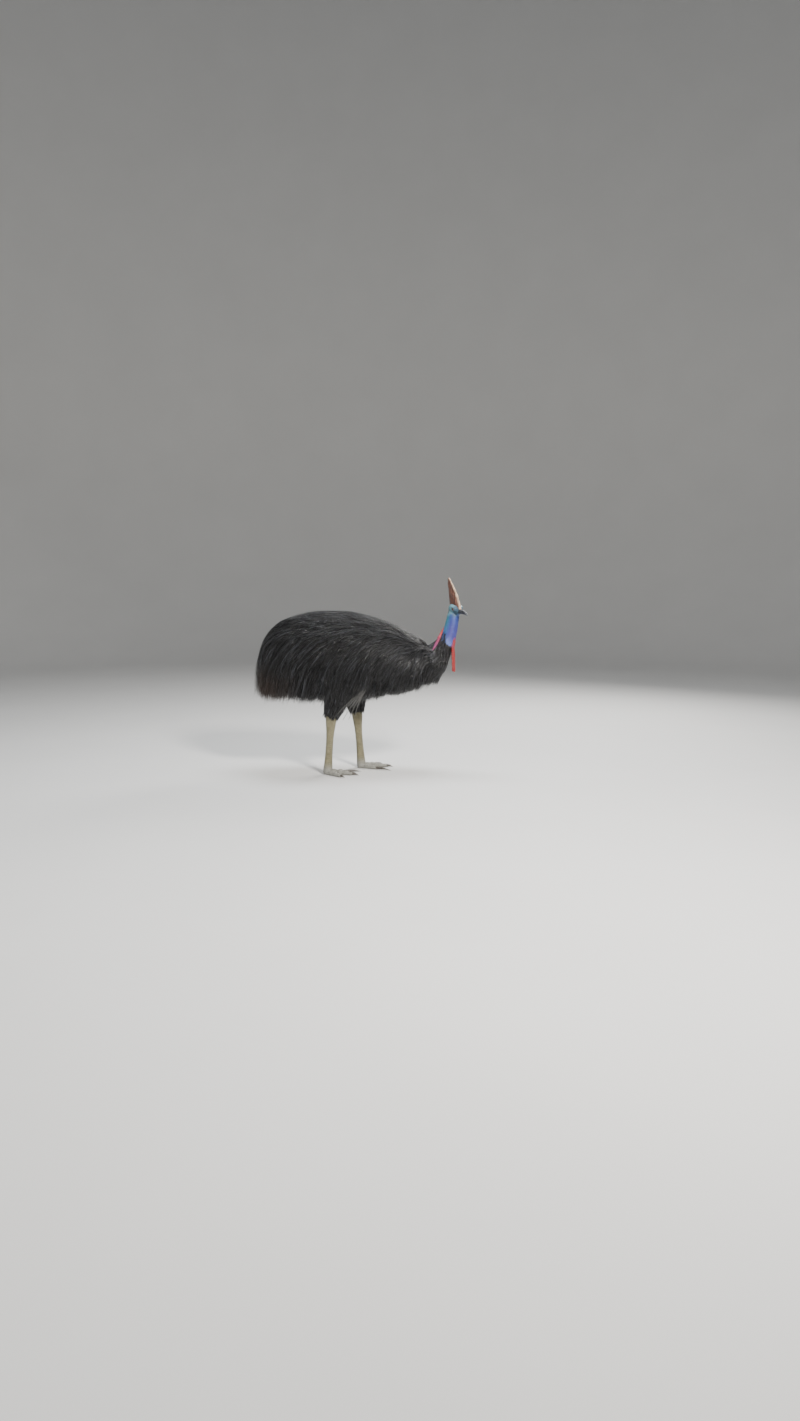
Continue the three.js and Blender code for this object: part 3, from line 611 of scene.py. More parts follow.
def bone_form(start, end, sizes, t, count):
    """A rod from start to end whose half sizes are read from a table at the shares t."""
    front, aside = through(sizes, t).T
    centre = lerp(np.array(start, float), np.array(end, float), t[:, None])
    return tube(rod_rings(np.column_stack([centre, aside, front]), [1, 0, 0], count))


def thigh_form(leg):
    """The thigh as a rod from hip to just past the ankle."""
    return bone_form(leg["hip"], leg["ankle"], THIGH, np.linspace(0, 1.03, 30), 40)


def toe_line(leg, toe):
    """Root and way of a toe: turned from the foot's heading by its spread, its root stepped aside."""
    heading = np.radians(leg["heading"] + toe["spread"] * leg["side"])
    middle = np.radians(leg["heading"])
    shift = TOE_SHIFT * np.sign(toe["spread"]) * leg["side"]
    root = np.array([leg["foot"][0] - shift * np.sin(middle), leg["foot"][1] + shift * np.cos(middle), 0.0])
    return root, np.array([np.cos(heading), np.sin(heading), 0.0])


print("toes", [toe_line(LEGS["left"], toe)[0].round().tolist() for toe in TOES.values()])

# %% [markdown]
# Under the feathers the trunk, the root of the neck and the thighs are one dark skin. It hardly
# shows, but it stops light from passing between the feathers, and the feathers are rooted on it.

# %% Skin of the trunk
under_skin, tree, shader, _ = mottled_finish(
    "under_skin", 40.0, 1.6, (0.010, 0.010, 0.010), (0.022, 0.020, 0.019), Roughness=0.8
)
bump(tree, shader, pattern(tree, "grain", Scale=260.0), 0.004)

thighs = [thigh_form(leg) for leg in LEGS.values()]
neck_root = neck_form(0.0, NECK_BASE_TOP - 0.05, 30, out=1.5)
trunk = fused("skin_trunk", [trunk_form(), neck_root] + thighs, voxel=8.0, relax=4)
TRUNK_NODES = ["tail", "torso", "breast", "neck_base", "thigh_right", "thigh_left"]
finish_piece(trunk, under_skin, "plumage", *TRUNK_NODES)

# %% [markdown]
# The head is set on the neck turned 60 degrees to the bird's right, with the bill a little down
# and the crown leaning. All of its parts are drawn looking along X with the origin between the
# eyes, and one turn puts them in place.

# %% Frame of the head
HEAD_PLACE = np.array([738.0, -26.0, 1085.0])
HEAD_TURN = np.array(
    Euler((0, 0, np.radians(-60))).to_matrix()
    @ Euler((0, np.radians(6), 0)).to_matrix()
    @ Euler((np.radians(7), 0, 0)).to_matrix()
)
EYE_BALL = 14.2  # radius of the eye, inside the solid one
EYE_PLACE = np.array([4.0, 24.0, 4.0])
LID_LENGTH = 12.6  # half sizes of the rim of the lids
LID_HEIGHT = 10.0
LID_SLANT = 1.2  # how much lower the front corner of the eye is than the back one, halved
EAR_PLACE = [-38.0, -10.0]  # along and up
SKULL = [  # along, up, half width and half height
    [-68, -12, 14, 16], [-60, -10, 25, 28], [-42, -7, 33, 36], [-20, -4, 35, 37],
    [4, -4, 31, 34], [24, -8, 24, 27], [40, -11, 18, 21],
]


def on_head(points):
    """From the head's own frame to the bird's: turned, then moved to between the eyes."""
    return np.asarray(points, float) @ HEAD_TURN.T + HEAD_PLACE


def off_head(points):
    """From the bird's frame to the head's own."""
    return (np.asarray(points, float) - HEAD_PLACE) @ HEAD_TURN


def head_form(rings):
    """A tube drawn in the head's frame, put in place."""
    points, triangles = tube(rings)
    return on_head(points), triangles


def lid_rim(turn):
    """Place along and up of the rim of the lids: an oval whose front end is a little lower."""
    x = EYE_PLACE[0] + LID_LENGTH * np.cos(turn)
    return x, EYE_PLACE[2] + LID_HEIGHT * np.sin(turn) - LID_SLANT * np.cos(turn)


def gap_to_eye(local):
    """Distance from the middle of the eye on the same side, in the head's own frame."""
    return np.linalg.norm(local - EYE_PLACE * np.where(local[:, 1:2] > 0, 1, [1, -1, 1]), axis=-1)


def gap_to_ear(local):
    """Distance from the ear, seen from the side."""
    return np.hypot(local[:, 0] - EAR_PLACE[0], local[:, 2] - EAR_PLACE[1])


print("bill points along", HEAD_TURN[:, 0].round(3))

# %% [markdown]
# The neck and head of this bird are naked. The skin lies in soft rings round the throat, hangs
# loose behind the bill, and swells into two red folds down the nape. Each swelling is a closed
# form of its own, and fusing them first and wrinkling afterwards keeps the folds free of seams.

# %% Forms of neck and head skin


def nape_turn(keys):
    """Turn of the red fold from the throat round to the nape, further back higher up."""
    t = np.clip((keys - NAPE_FOOT) / (NAPE_TOP - NAPE_FOOT), 0, 1)
    return np.radians(lerp(116.0, 168.0, t**1.3))


def nape_fold(side, rows=60):
    """The fold as a rod on the neck's skin whose size swells and pinches along it."""
    t = np.linspace(0, 1, rows)
    keys = lerp(NAPE_TOP, NAPE_FOOT, t)
    centre, _, facing, leftward, depth, width = neck_frames(keys)
    turn = side * nape_turn(keys)
    swell = np.sin(np.pi * (0.12 + 0.8 * t)) * (1 + 0.13 * np.sin(19 * t) + 0.08 * np.sin(47 * t))
    spot = centre + facing * ((depth - 1) * np.cos(turn))[:, None]
    spot = spot + leftward * ((width - 1) * np.sin(turn))[:, None]
    middle = rows // 2
    up = -facing[middle] + leftward[middle] * side * 0.8
    return tube(rod_rings(np.column_stack([spot, 15 * swell, 9 * swell]), unit(up), 16))


def skull_form():
    """The skull as rounded squares read smoothly from its short table."""
    x = np.linspace(-68, 40, 44)
    z, width, height = through(SKULL, x).T
    rows = np.column_stack([x, 0 * x, z, width, height])
    return head_form(rod_rings(rows, [0, 0, 1], 44, 2.15))


def orbit_form(side):
    """The swelling that the eye sits in: an oval ball round the eye's place."""
    sweep = np.linspace(-0.99, 0.99, 24)
    round_off = np.sqrt(1 - sweep**2)
    middle = [4 + 25 * sweep, 0 * sweep + side * 20, 4.5 - 3 * sweep]
    rows = np.column_stack([*middle, 17.5 * round_off, 19 * round_off])
    return head_form(rod_rings(rows, [0, 0, 1], 32))


print("nape folds from key", NAPE_TOP, "down to", NAPE_FOOT)

# %% [markdown]
# The eye needs a rim of lids to sit behind, and the jaw and wattles hang from loose skin. These
# forms are small, but they are fused with the rest, so that they grow out of it without a line.

# %% Lids, throat and the whole head skin
WATTLE_ROOT = (4.5, 3.28)  # keys between which a swelling runs down the throat into a wattle


def lid_form(side, rows=48, count=12):
    """A rim round the eye: a ring stretched along the head that rests on the ball of the eye, at
    the height root(size^2 - ring^2) over its middle, thicker above."""
    turn = np.linspace(0, 2 * np.pi, rows, endpoint=False)
    x, z = lid_rim(turn)
    ring_size = np.hypot(x - EYE_PLACE[0], z - EYE_PLACE[2])
    y = side * (EYE_PLACE[1] + np.sqrt(np.maximum(EYE_BALL**2 - ring_size**2, 0)) + 1.2)
    thick = 2.3 + 1.1 * np.maximum(np.sin(turn), 0)
    small = np.linspace(0, 2 * np.pi, count, endpoint=False)
    centre = np.stack([x, y, z], -1)
    away = unit(centre - np.array([EYE_PLACE[0], side * EYE_PLACE[1], EYE_PLACE[2]]))
    out = np.broadcast_to([0.0, side * 1.0, 0.0], away.shape)
    ring = centre[:, None] + thick[:, None, None] * (
        away[:, None] * np.cos(small)[None, :, None] + out[:, None] * np.sin(small)[None, :, None] * 0.9
    )
    i, j = np.meshgrid(np.arange(rows), np.arange(count), indexing="ij")
    next_i, next_j = (i + 1) % rows * count, (j + 1) % count
    triangles = halves(i * count + j, i * count + next_j, next_i + next_j, next_i + j)
    return outward(on_head(ring.reshape(-1, 3)), triangles)


def throat_form():
    """Loose skin under the jaw: a soft rod from the chin back to the neck."""
    rows = [
        [30, 0, -24, 9, 8], [14, 0, -31, 15, 12], [-6, 0, -38, 20, 16],
        [-26, 0, -44, 24, 20], [-44, 0, -46, 22, 20],
    ]
    return head_form(rod_rings(rows, [0, 0, 1], 28))


def wattle_root(side, rows=30):
    """Middle line and closed form of the swelling that runs down the throat into a wattle."""
    t = np.linspace(0, 1, rows)
    centre, _, facing, leftward, depth, _ = neck_frames(lerp(*WATTLE_ROOT, t))
    line = centre + facing * (depth - 3 + 7.5 * t)[:, None]
    line = line + leftward * (side * (6 + 9 * t))[:, None]
    rows = np.column_stack([line, lerp(3.0, 8.6, t), lerp(3.0, 5.4, t)])
    return line, tube(rod_rings(rows, facing[0], 20))


head_forms = [neck_form(2.9, 8, 84), skull_form(), throat_form()]
wattle_lines = []
for side in SIDES.values():
    wattle_line, wattle_swelling = wattle_root(side)
    wattle_lines.append(wattle_line)
    head_forms += [nape_fold(side), orbit_form(side), lid_form(side), wattle_swelling]
head_skin = fused("skin_head", head_forms, voxel=1.6, relax=3)
print("head skin points", len(head_skin.data.vertices))

# %% [markdown]
# Wrinkles follow how the skin moves: rings round the bending neck, beads on the red folds and
# fine creases that fan out from the eye. They are pushed out along the surface's own normals,
# as real height and not only shading, so they also show in the outline.

# %% Wrinkles


def gap_to_line(points, line):
    """Distance of each point from the nearest point of a line of points."""
    return np.linalg.norm(points[:, None] - line[None], axis=-1).min(1)


points, normals = surface(head_skin)
local = off_head(points)
_, _, key = neck_distance(points)
centre, along, facing, leftward, depth, width = neck_frames(np.clip(key, 0.4, 7.6))
away = points - centre
round_turn = np.arctan2((away * leftward).sum(-1) / width, (away * facing).sum(-1) / depth)
on_neck = ease((-27 - local[:, 2] + 6 * ripple(points, 34, 9)) / 26)
from_fold = np.abs(np.abs(round_turn) - nape_turn(key)) * width
fold = ease((23 - from_fold + 2 * ripple(points, 12, 11)) / 10) * ease((NAPE_TOP + 0.1 - key) / 0.5)
from_wattle = np.minimum(*[gap_to_line(points, line) for line in wattle_lines])
wattle = ease((11.5 - from_wattle + 1.5 * ripple(points, 10, 12)) / 6) * ease((4.35 - key) / 0.5)

climb = (points * along).sum(-1) + 3.5 * ripple(points, 60, 3) + 1.2 * ripple(points, 18, 4)
rings = 0.55 * np.sin(2 * np.pi * climb / 8.5)
rings = rings + 0.35 * np.sin(2 * np.pi * climb / 3.9 + 2 * ripple(points, 30, 5))
drawn_down = np.stack([0.42 * climb, round_turn * width, 0 * climb], -1)
knobs = 1.3 * ripple(drawn_down, 7.5, 6) + 0.7 * ripple(drawn_down, 3.9, 7) + 0.5 * ripple(points, 5.2, 14)
beads = knobs * lerp(0.3, 1.0, ease((key - NAPE_FOOT) / 0.8))
eye_gap = gap_to_eye(local)
fan = 0.28 * np.sin(2 * np.pi * eye_gap / 3.6) * ease((40 - eye_gap) / 18) * ease((eye_gap - 19) / 3)
pores = 0.16 * ripple(points, 3.4, 8)
cheek = 0.5 * ripple(points, 11, 13) * (1 - on_neck) * ease((eye_gap - 24) / 8)
height = on_neck * (1 - fold) * rings + np.maximum(fold, 0.6 * wattle) * beads + fan + cheek + pores
points = points + normals * height[:, None]
print("wrinkles from", height.min().round(2), "to", height.max().round(2), "mm")

# %% [markdown]
# The openings are sunk straight in from the side: a pit between the lids for the eye, a small
# ear hole and the end of the mouth line. Each is a soft step on a distance, so that its edge is
# rounded. Then the places of folds, creases and lids are kept on the mesh for the material. The
# depth of the openings and of the creases is kept too, for painted shade in them.

# %% Eye openings, ears and markings
LID_INSIDE = 1.0  # how far inside the rim of the lids the opening starts

eye_side = np.where(local[:, 1] > 0, 1.0, -1.0)
from_eye = local[:, 0] - EYE_PLACE[0]
opening = np.hypot(
    from_eye / (LID_LENGTH - LID_INSIDE),
    (local[:, 2] - EYE_PLACE[2] + 0.1 * from_eye) / (LID_HEIGHT - LID_INSIDE),
)
near_eye = (np.abs(local[:, 1]) > 18) & (np.abs(from_eye) < 20)
sink = 11.0 * ease((1.0 - opening) / 0.2) * near_eye
sink = sink + 5.0 * ease((7 - gap_to_ear(local)) / 4) * (np.abs(local[:, 1]) > 15)
gape = np.abs(local[:, 2] + 13.5 + 0.12 * (local[:, 0] - 16)) + 3 * ease((2 - local[:, 0]) / 8)
sink = sink + 2.2 * ease((2.2 - gape) / 1.8) * (local[:, 0] > -4) * (np.abs(local[:, 1]) > 12)
points = points - HEAD_TURN[:, 1] * (sink * eye_side)[:, None]
reshape(head_skin, points)

mark(head_skin, "fold", fold)
mark(head_skin, "wattle", wattle)
mark(head_skin, "climb", np.clip((key - 2.5) / 5.0, 0, 1))
mark(head_skin, "throat", 0.5 + 0.5 * np.cos(round_turn))
mark(head_skin, "face", 1 - on_neck)
mark(head_skin, "muzzle", ease((local[:, 0] + 12 - 0.4 * local[:, 2] + 6 * ripple(points, 22, 15)) / 34))
# Painted shade: how deep the eye pit, ear hole and mouth line are sunk, to be painted near black.
mark(head_skin, "dark", np.clip(sink / 5.0, 0, 1))
mark(head_skin, "lid", near_eye * ease((1.5 - opening) / 0.3))
# How far each point lies down in a wrinkle, for painted shade in the creases.
mark(head_skin, "crease_shade", np.clip(0.5 - 0.5 * height, 0, 1))
print("openings sunk by up to", sink.max().round(1), "mm")

# %% [markdown]
# The colours run in bands down the neck: pale blue-green at the back of the head, cobalt and
# violet on the throat, a lighter blue patch lower down, and orange-red folds on the nape that
# pass to purple. The markings kept on the mesh steer the bands, and noise breaks their edges.

# %% Finish of the bare skin
CRIMSON = ((0.20, 0.005, 0.008), (0.34, 0.016, 0.014))

bare_skin, tree, shader = new_material(
    "bare_skin", Roughness=0.52, Coat_Weight=0.1, Coat_Roughness=0.35,
    Subsurface_Weight=0.08, Subsurface_Scale=0.004,
)
mottle = pattern(tree, "mottle", Scale=55.0, Contrast=1.8)
fine = pattern(tree, "mottle", Scale=330.0, Contrast=1.5)
climb_mark = sum_of(tree, marking(tree, "climb"), mottle, 0.10)
violet = band(tree, climb_mark, 0.14, 0.40, (0.11, 0.17, 0.44), (0.030, 0.028, 0.20))
cobalt = band(tree, climb_mark, 0.50, 0.95, violet, (0.014, 0.045, 0.23))
nape = band(tree, climb_mark, 0.25, 0.8, (0.022, 0.08, 0.26), (0.030, 0.20, 0.25))
neck_colour = band(tree, marking(tree, "throat"), 0.25, 0.7, nape, cobalt)
mottled = band(tree, mottle, 0.3, 1.0, neck_colour, (0.07, 0.11, 0.36), 0.3)
face = blend(tree, fine, (0.07, 0.21, 0.28), (0.20, 0.38, 0.41))
face = band(tree, marking(tree, "muzzle"), 0.0, 1.0, face, (0.022, 0.050, 0.090), 0.85)
skin_colour = blend(tree, marking(tree, "face"), mottled, face)
red = band(tree, climb_mark, 0.0, 0.5, (0.24, 0.025, 0.13), (0.50, 0.035, 0.010))
red = band(tree, fine, 0.4, 1.0, red, (0.58, 0.11, 0.06), 0.35)
skin_colour = blend(tree, marking(tree, "fold"), skin_colour, red)
crimson = blend(tree, fine, *CRIMSON)
skin_colour = blend(tree, marking(tree, "wattle"), skin_colour, crimson)
# Painted shade: the skin turns dark blue-black where it sinks into a crease.
shaded = band(tree, marking(tree, "crease_shade"), 0.55, 1.0, skin_colour, (0.015, 0.015, 0.05), 0.5)
lidded = band(tree, marking(tree, "lid"), 0.0, 1.0, shaded, (0.030, 0.045, 0.055), 0.75)
# Painted shade: near black inside the sunk openings of eye, ear and mouth line.
final = blend(tree, marking(tree, "dark"), lidded, (0.012, 0.012, 0.014))
paint(tree, shader, final)
bump(tree, shader, pattern(tree, "grain", Scale=620.0), 0.002, 0.6)
finish_piece(head_skin, bare_skin, "blue_skin", "head", "neck_upper", "neck_lower")

# %% [markdown]
# A bird's eye is a wet ball with a bulge of clear cornea over a flat iris. One closed ball is
# enough here: its front is pushed out a little, each point keeps its angle from the line of
# sight, and the material turns that angle into pupil, amber iris and dark rim.

# %% Eyes
PUPIL = 0.36  # radius of the pupil over that of the eye's ball
IRIS = 0.66
CORNEA = 1.1  # how far it stands out over the ball

wet_eye, tree, shader = new_material("wet_eye", Roughness=0.04, IOR=1.4, Coat_Weight=1.0, Coat_Roughness=0.02)
ring_mark = marking(tree, "ring")
fibres = pattern(tree, "mottle", Scale=420.0, Contrast=2.2)
iris = blend(tree, fibres, (0.13, 0.035, 0.010), (0.36, 0.12, 0.03))
inside = band(tree, ring_mark, PUPIL - 0.02, PUPIL + 0.02, (0.002, 0.002, 0.003), iris)
rim = band(tree, ring_mark, IRIS - 0.06, IRIS, inside, (0.012, 0.008, 0.007))
paint(tree, shader, rim)


def eye_piece(name, side):
    """A ball round the eye's place, with a cornea raised by CORNEA times (1 - (ring / iris)^2)."""
    polar = np.linspace(0.03, np.pi - 0.03, 40)
    turn = full_turn(56)
    middle = EYE_PLACE * [1, side, 1]
    sight = unit(np.array([0.18, side * 1.0, 0.03]))
    right = unit(np.cross(sight, [0, 0, 1]))
    above = np.cross(right, sight)
    distance = EYE_BALL + CORNEA * np.maximum(1 - (np.sin(polar) / IRIS) ** 2, 0) * (polar < 1.5)
    ring = np.sin(polar)[:, None, None] * (
        np.cos(turn)[None, :, None] * right + np.sin(turn)[None, :, None] * above
    )
    ball = distance[:, None, None] * (ring + np.cos(polar)[:, None, None] * sight)
    eye = new_piece("eyeball_" + name, *head_form(ball + middle))
    spots = off_head(surface(eye)[0]) - middle
    front = spots @ sight / np.linalg.norm(spots, axis=-1)
    mark(eye, "ring", np.where(front > 0, np.sqrt(np.maximum(1 - front**2, 0)), 1.0))
    finish_piece(eye, wet_eye, "eye", "eye_" + name)


for name, side in SIDES.items():
    eye_piece(name, side)

# %% [markdown]
# The casque is a tall helmet of spongy bone under a horn sheath. From the side it is a blade
# that leans back, from the front a thin wedge. Its section is an oval that sharpens towards the
# front edge, and slow waves over it give the dents and growth bands of old horn.

# %% Casque
CASQUE_HEIGHT = 168.0
CASQUE_LENGTH = 124.0
CASQUE_FOOT = 4.0  # height of its lowest ring over the eyes
CASQUE_FRONT = 52.0  # X of its front edge at the foot
CASQUE_SQUARENESS = 2.2
CASQUE_LEAN_ASIDE = 14.0  # how far the tip bends out of the head's middle plane


def casque_front(t):
    """X of the front edge at the share t of the height: a bowed line that leans back."""
    return lerp(CASQUE_FRONT, -44, t**1.05) + 9 * np.sin(np.pi * t)


def casque_rings(rows=70, count=72):
    """Ovals stacked from the skull up: front and back edges are read along the height, the half
    width narrows with the 0.7th power of the height, and the front half is pinched to a keel."""
    t = np.linspace(0, 1, rows)
    front = casque_front(t)
    back = lerp(CASQUE_FRONT - CASQUE_LENGTH, -76, t**0.8) - 5 * np.sin(np.pi * t)
    height = lerp(CASQUE_FOOT, 30 + CASQUE_HEIGHT, t**0.95)
    close = np.sqrt(np.clip((1.004 - t) / 0.03, 0, 1))
    half = (front - back) / 2 * (1 - 0.35 * t**9) * close
    thick = lerp(21, 5.5, t**0.7) * close
    turn = full_turn(count)
    c, s = np.cos(turn), np.sin(turn)
    n = CASQUE_SQUARENESS
    reach = (np.abs(c) ** n + np.abs(s) ** n) ** (-1 / n)
    pinch = 1 - 0.42 * np.clip(c, 0, 1) ** 3
    x = ((front + back) / 2)[:, None] + half[:, None] * (c * reach)
    y = (-CASQUE_LEAN_ASIDE * t**1.5)[:, None] + thick[:, None] * (s * reach * pinch)
    return np.stack([x, y, np.broadcast_to(height[:, None], x.shape)], -1)


casque = new_piece("casque_horn", *head_form(casque_rings()))
points, normals = surface(casque)
local = off_head(points)
bands = 0.5 * np.sin(local[:, 2] / 6.5 + 1.5 * ripple(local, 50, 21))
dents = 1.3 * ripple(local, 46, 22) + 0.5 * ripple(local, 17, 23)
ridges = 0.22 * ripple(local * [1.0, 1.0, 0.10], 5.0, 24)
rise = np.clip((local[:, 2] - CASQUE_FOOT) / (26 + CASQUE_HEIGHT), 0, 1)
keel_mark = np.exp(-np.maximum(casque_front(rise) - local[:, 0], 0) / 13.0)
chips = -0.9 * ease((keel_mark - 0.55) / 0.4) * ease((ripple(local, 15, 25) - 0.3) / 0.8)
reshape(casque, points + normals * (bands * 0.5 + dents + ridges + chips)[:, None])
mark(casque, "keel", keel_mark)
print("casque dented by up to", chips.min().round(2), "mm at its chips")

# %% [markdown]
# The horn is dark brown and streaked along its height. Worn patches and pale scuffs lie over the
# streaks, and the keel at the front is bleached, by a marking that fades out behind the edge.

# %% Finish of the casque
casque_horn, tree, shader = new_material("casque_horn", Roughness=0.45, Coat_Weight=0.1, Coat_Roughness=0.35)
fibre = pattern(tree, "streaks", Scale=170.0, Squeeze=0.08)
patch = pattern(tree, "mottle", Scale=30.0, Contrast=2.4)
scuffs = pattern(tree, "mottle", Scale=210.0, Contrast=2.2)
sides = band(tree, fibre, 0.3, 0.7, (0.060, 0.024, 0.019), (0.20, 0.085, 0.055))
sides = band(tree, patch, 0.45, 1.0, sides, (0.036, 0.020, 0.020), 0.7)
sides = band(tree, scuffs, 0.62, 0.95, sides, (0.27, 0.18, 0.14), 0.3)
edge = blend(tree, fibre, (0.38, 0.24, 0.15), (0.60, 0.46, 0.33))
keel = sum_of(tree, marking(tree, "keel"), fibre, 0.25)
horn_colour = band(tree, keel, 0.42, 0.88, sides, edge)
paint(tree, shader, horn_colour)
tree.links.new(sloped(tree, scuffs, 0.2, 0.9, 0.34, 0.62), shader.inputs["Roughness"])
bump(tree, shader, sum_of(tree, fibre, scuffs, 0.3), 0.0022)
finish_piece(casque, casque_horn, "casque_horn", "casque")

# %% [markdown]
# The bill is two horn troughs that meet along the mouth line. Each is a half oval along the
# bill with a flat inner face. The upper one ends in a small hook, carries a long nostril, and
# has a rounded ridge along its top.

# %% Bill
BILL = [  # along, mouth line, half width, depth of the upper half and of the lower one
    [14, -13, 21, 25, 18], [20, -13, 20, 24, 17], [40, -14, 16, 21, 14], [60, -15, 12.5, 18, 11],
    [82, -17, 10, 16, 8.5], [104, -20, 7.5, 14.5, 6.5], [118, -24, 5, 12.5, 4.5], [126, -29, 2.4, 7, 2],
]
MOUTH_GAP = 0.35
NOSTRIL = [76.0, -8.0]  # along and up


def bill_rings(sign, rows=64, arc=36, flat=10):
    """Half ovals: up to depth times sin(turn)^0.8 over the width times cos(turn), then a flat floor."""
    x = lerp(BILL[0][0], BILL[-1][0], 1 - (1 - np.linspace(0, 1, rows)) ** 1.25)
    mouth, width, upper, lower = through(BILL, x).T
    depth = upper if sign > 0 else lower
    turn = np.linspace(0, np.pi, arc)
    across = width[:, None] * np.cos(turn) * (1 - 0.15 * np.sin(turn))
    up = mouth[:, None] + sign * (MOUTH_GAP + depth[:, None] * np.sin(turn) ** 0.8)
    floor = np.linspace(-0.92, 0.92, flat)
    across = np.concatenate([across, width[:, None] * floor], 1)
    up = np.concatenate([up, np.broadcast_to((mouth + sign * MOUTH_GAP)[:, None], (rows, flat))], 1)
    return np.stack([np.broadcast_to(x[:, None], across.shape), across, up], -1)


bill_horn, tree, shader = new_material("bill_horn", Roughness=0.32, Coat_Weight=0.2, Coat_Roughness=0.25)
fibre = pattern(tree, "mottle", Scale=150.0, Contrast=1.4)
dark_horn = blend(tree, fibre, (0.014, 0.015, 0.019), (0.055, 0.058, 0.068))
worn = band(tree, marking(tree, "tip"), 0.75, 1.0, dark_horn, (0.16, 0.17, 0.18), 0.6)
# Painted shade: the nostril slot is painted near black, as shade inside the opening.
nostril_shaded_colour = blend(tree, marking(tree, "slot"), worn, (0.003, 0.003, 0.004))
paint(tree, shader, nostril_shaded_colour)
bump(tree, shader, fibre, 0.0006)

for name, sign in (("upper", 1), ("lower", -1)):
    horn = new_piece("bill_horn_" + name, *head_form(bill_rings(sign)))
    points, normals = surface(horn)
    local = off_head(points)
    ahead, over = local[:, 0] - NOSTRIL[0], local[:, 2] - NOSTRIL[1]
    slot = np.hypot((ahead - 0.2 * over) / 9.5, over / 2.5)
    slot = ease((1.25 - slot) / 0.5) * (np.abs(local[:, 1]) > 3) * (sign > 0)
    groove = 0.5 * np.exp(-(((over - 0.15 * ahead) / 1.6) ** 2)) * (sign > 0)
    groove = groove * ease((local[:, 0] - 24) / 10) * ease((100 - local[:, 0]) / 14)
    points = points - normals * (3.0 * slot + groove - 0.15 * ripple(points, 9, 31))[:, None]
    reshape(horn, points)
    # The place of the nostril slot, for painted shade inside it.
    mark(horn, "slot", slot)
    mark(horn, "tip", np.clip(local[:, 0] / BILL[-1][0], 0, 1))
    finish_piece(horn, bill_horn, "bill_horn", "bill_" + name)

# %% [markdown]
# Two wattles hang from the throat. They are thin folded flaps of bare skin, longer than wide,
# with a bumpy face and a rounded end. A flattened rod follows their fall, and its width and
# thickness wander along it so that the two differ a little.

# %% Wattles
WATTLE_LENGTH = 165.0
WATTLE_KEY = 3.35  # key of the neck that they hang from

wattle_skin, tree, shader = new_material(
    "wattle_skin", Roughness=0.45, Coat_Weight=0.2, Coat_Roughness=0.3,
    Subsurface_Weight=0.2, Subsurface_Scale=0.006,
)
fine = pattern(tree, "mottle", Scale=160.0, Contrast=1.8)
crimson = blend(tree, fine, *CRIMSON)
pale = band(tree, fine, 0.45, 1.0, crimson, (0.48, 0.085, 0.06), 0.4)
# Painted shade: darker crimson where the face of the flap dips into a crease.
crease_shaded = band(tree, marking(tree, "crease_shade"), 0.5, 1.0, pale, (0.10, 0.002, 0.008), 0.8)
paint(tree, shader, crease_shaded)
bump(tree, shader, pattern(tree, "grain", Scale=520.0), 0.003, 0.7)


def wattle_rings(side, rows=90, count=40):
    """A flat rod down from the throat: its half width is 9 + 5 sin(pi t^1.5) - 3 t^8 + sin(23 t), its
    half thickness 4.4 + 2.2 sin(pi t), and both are closed in over the last sixteenth."""
    centre, _, facing, leftward, depth, _ = neck_frames(np.array([WATTLE_KEY]))
    root = centre[0] + facing[0] * (depth[0] + 5) + leftward[0] * side * 15
    t = np.linspace(0, 1, rows)
    close = np.sqrt(np.clip((1.003 - t) / 0.06, 0, 1))
    wide = (9 + 5 * np.sin(np.pi * t**1.5) - 3 * t**8 + np.sin(23 * t + side)) * close
    thick = (4.4 + 2.2 * np.sin(np.pi * t)) * close
    sway = 2.0 * np.sin(5.5 * t + 1.7 * side) * t
    x, y = root[0] + 6 * t + sway, root[1] + side * 4 * t + 1.5 * np.sin(7 * t + side) * t
    z = root[2] - (WATTLE_LENGTH - 1) * t
    return rod_rings(np.column_stack([x, y, z, wide, thick]), facing[0], count)


for name, side in SIDES.items():
    flap = new_piece("wattle_flap_" + name, *tube(wattle_rings(side)))
    points, normals = surface(flap)
    folds = np.sin(points[:, 2] / 2.6 + 2.2 * ripple(points, 26, 41 + side))
    height = 0.8 * ripple(points, 8, 42 + side) + 0.45 * ripple(points, 4, 43) + 0.4 * folds
    reshape(flap, points + normals * height[:, None])
    # How far each point dips into a fold, for painted shade in the creases.
    mark(flap, "crease_shade", np.clip(0.5 - 0.45 * height, 0, 1))
    finish_piece(flap, wattle_skin, "red_skin", "wattle_" + name)

# %% [markdown]
# The shank and toes are sheathed in horny scales: a row of wide plates down the front and over
# each toe, and a net of small round scales elsewhere. The leg is fused into one skin first, and
# the plates are then raised from the place of each point along its own bone.

# %% Legs and feet
SOLE = 2.0  # height at which the shank ends
PLATE_STEP = 14.0  # along the shank
TOE_PLATE_STEP = 9.0
PLATE_HEIGHT = 1.3
TOE_PLATE_HEIGHT = 1.2


def shank_form(leg):
    """The shank as a rod from just above the ankle to just over the sole."""
    return bone_form(leg["ankle"], [*leg["foot"][:2], SOLE], SHANK, np.linspace(-0.05, 1, 70), 44)


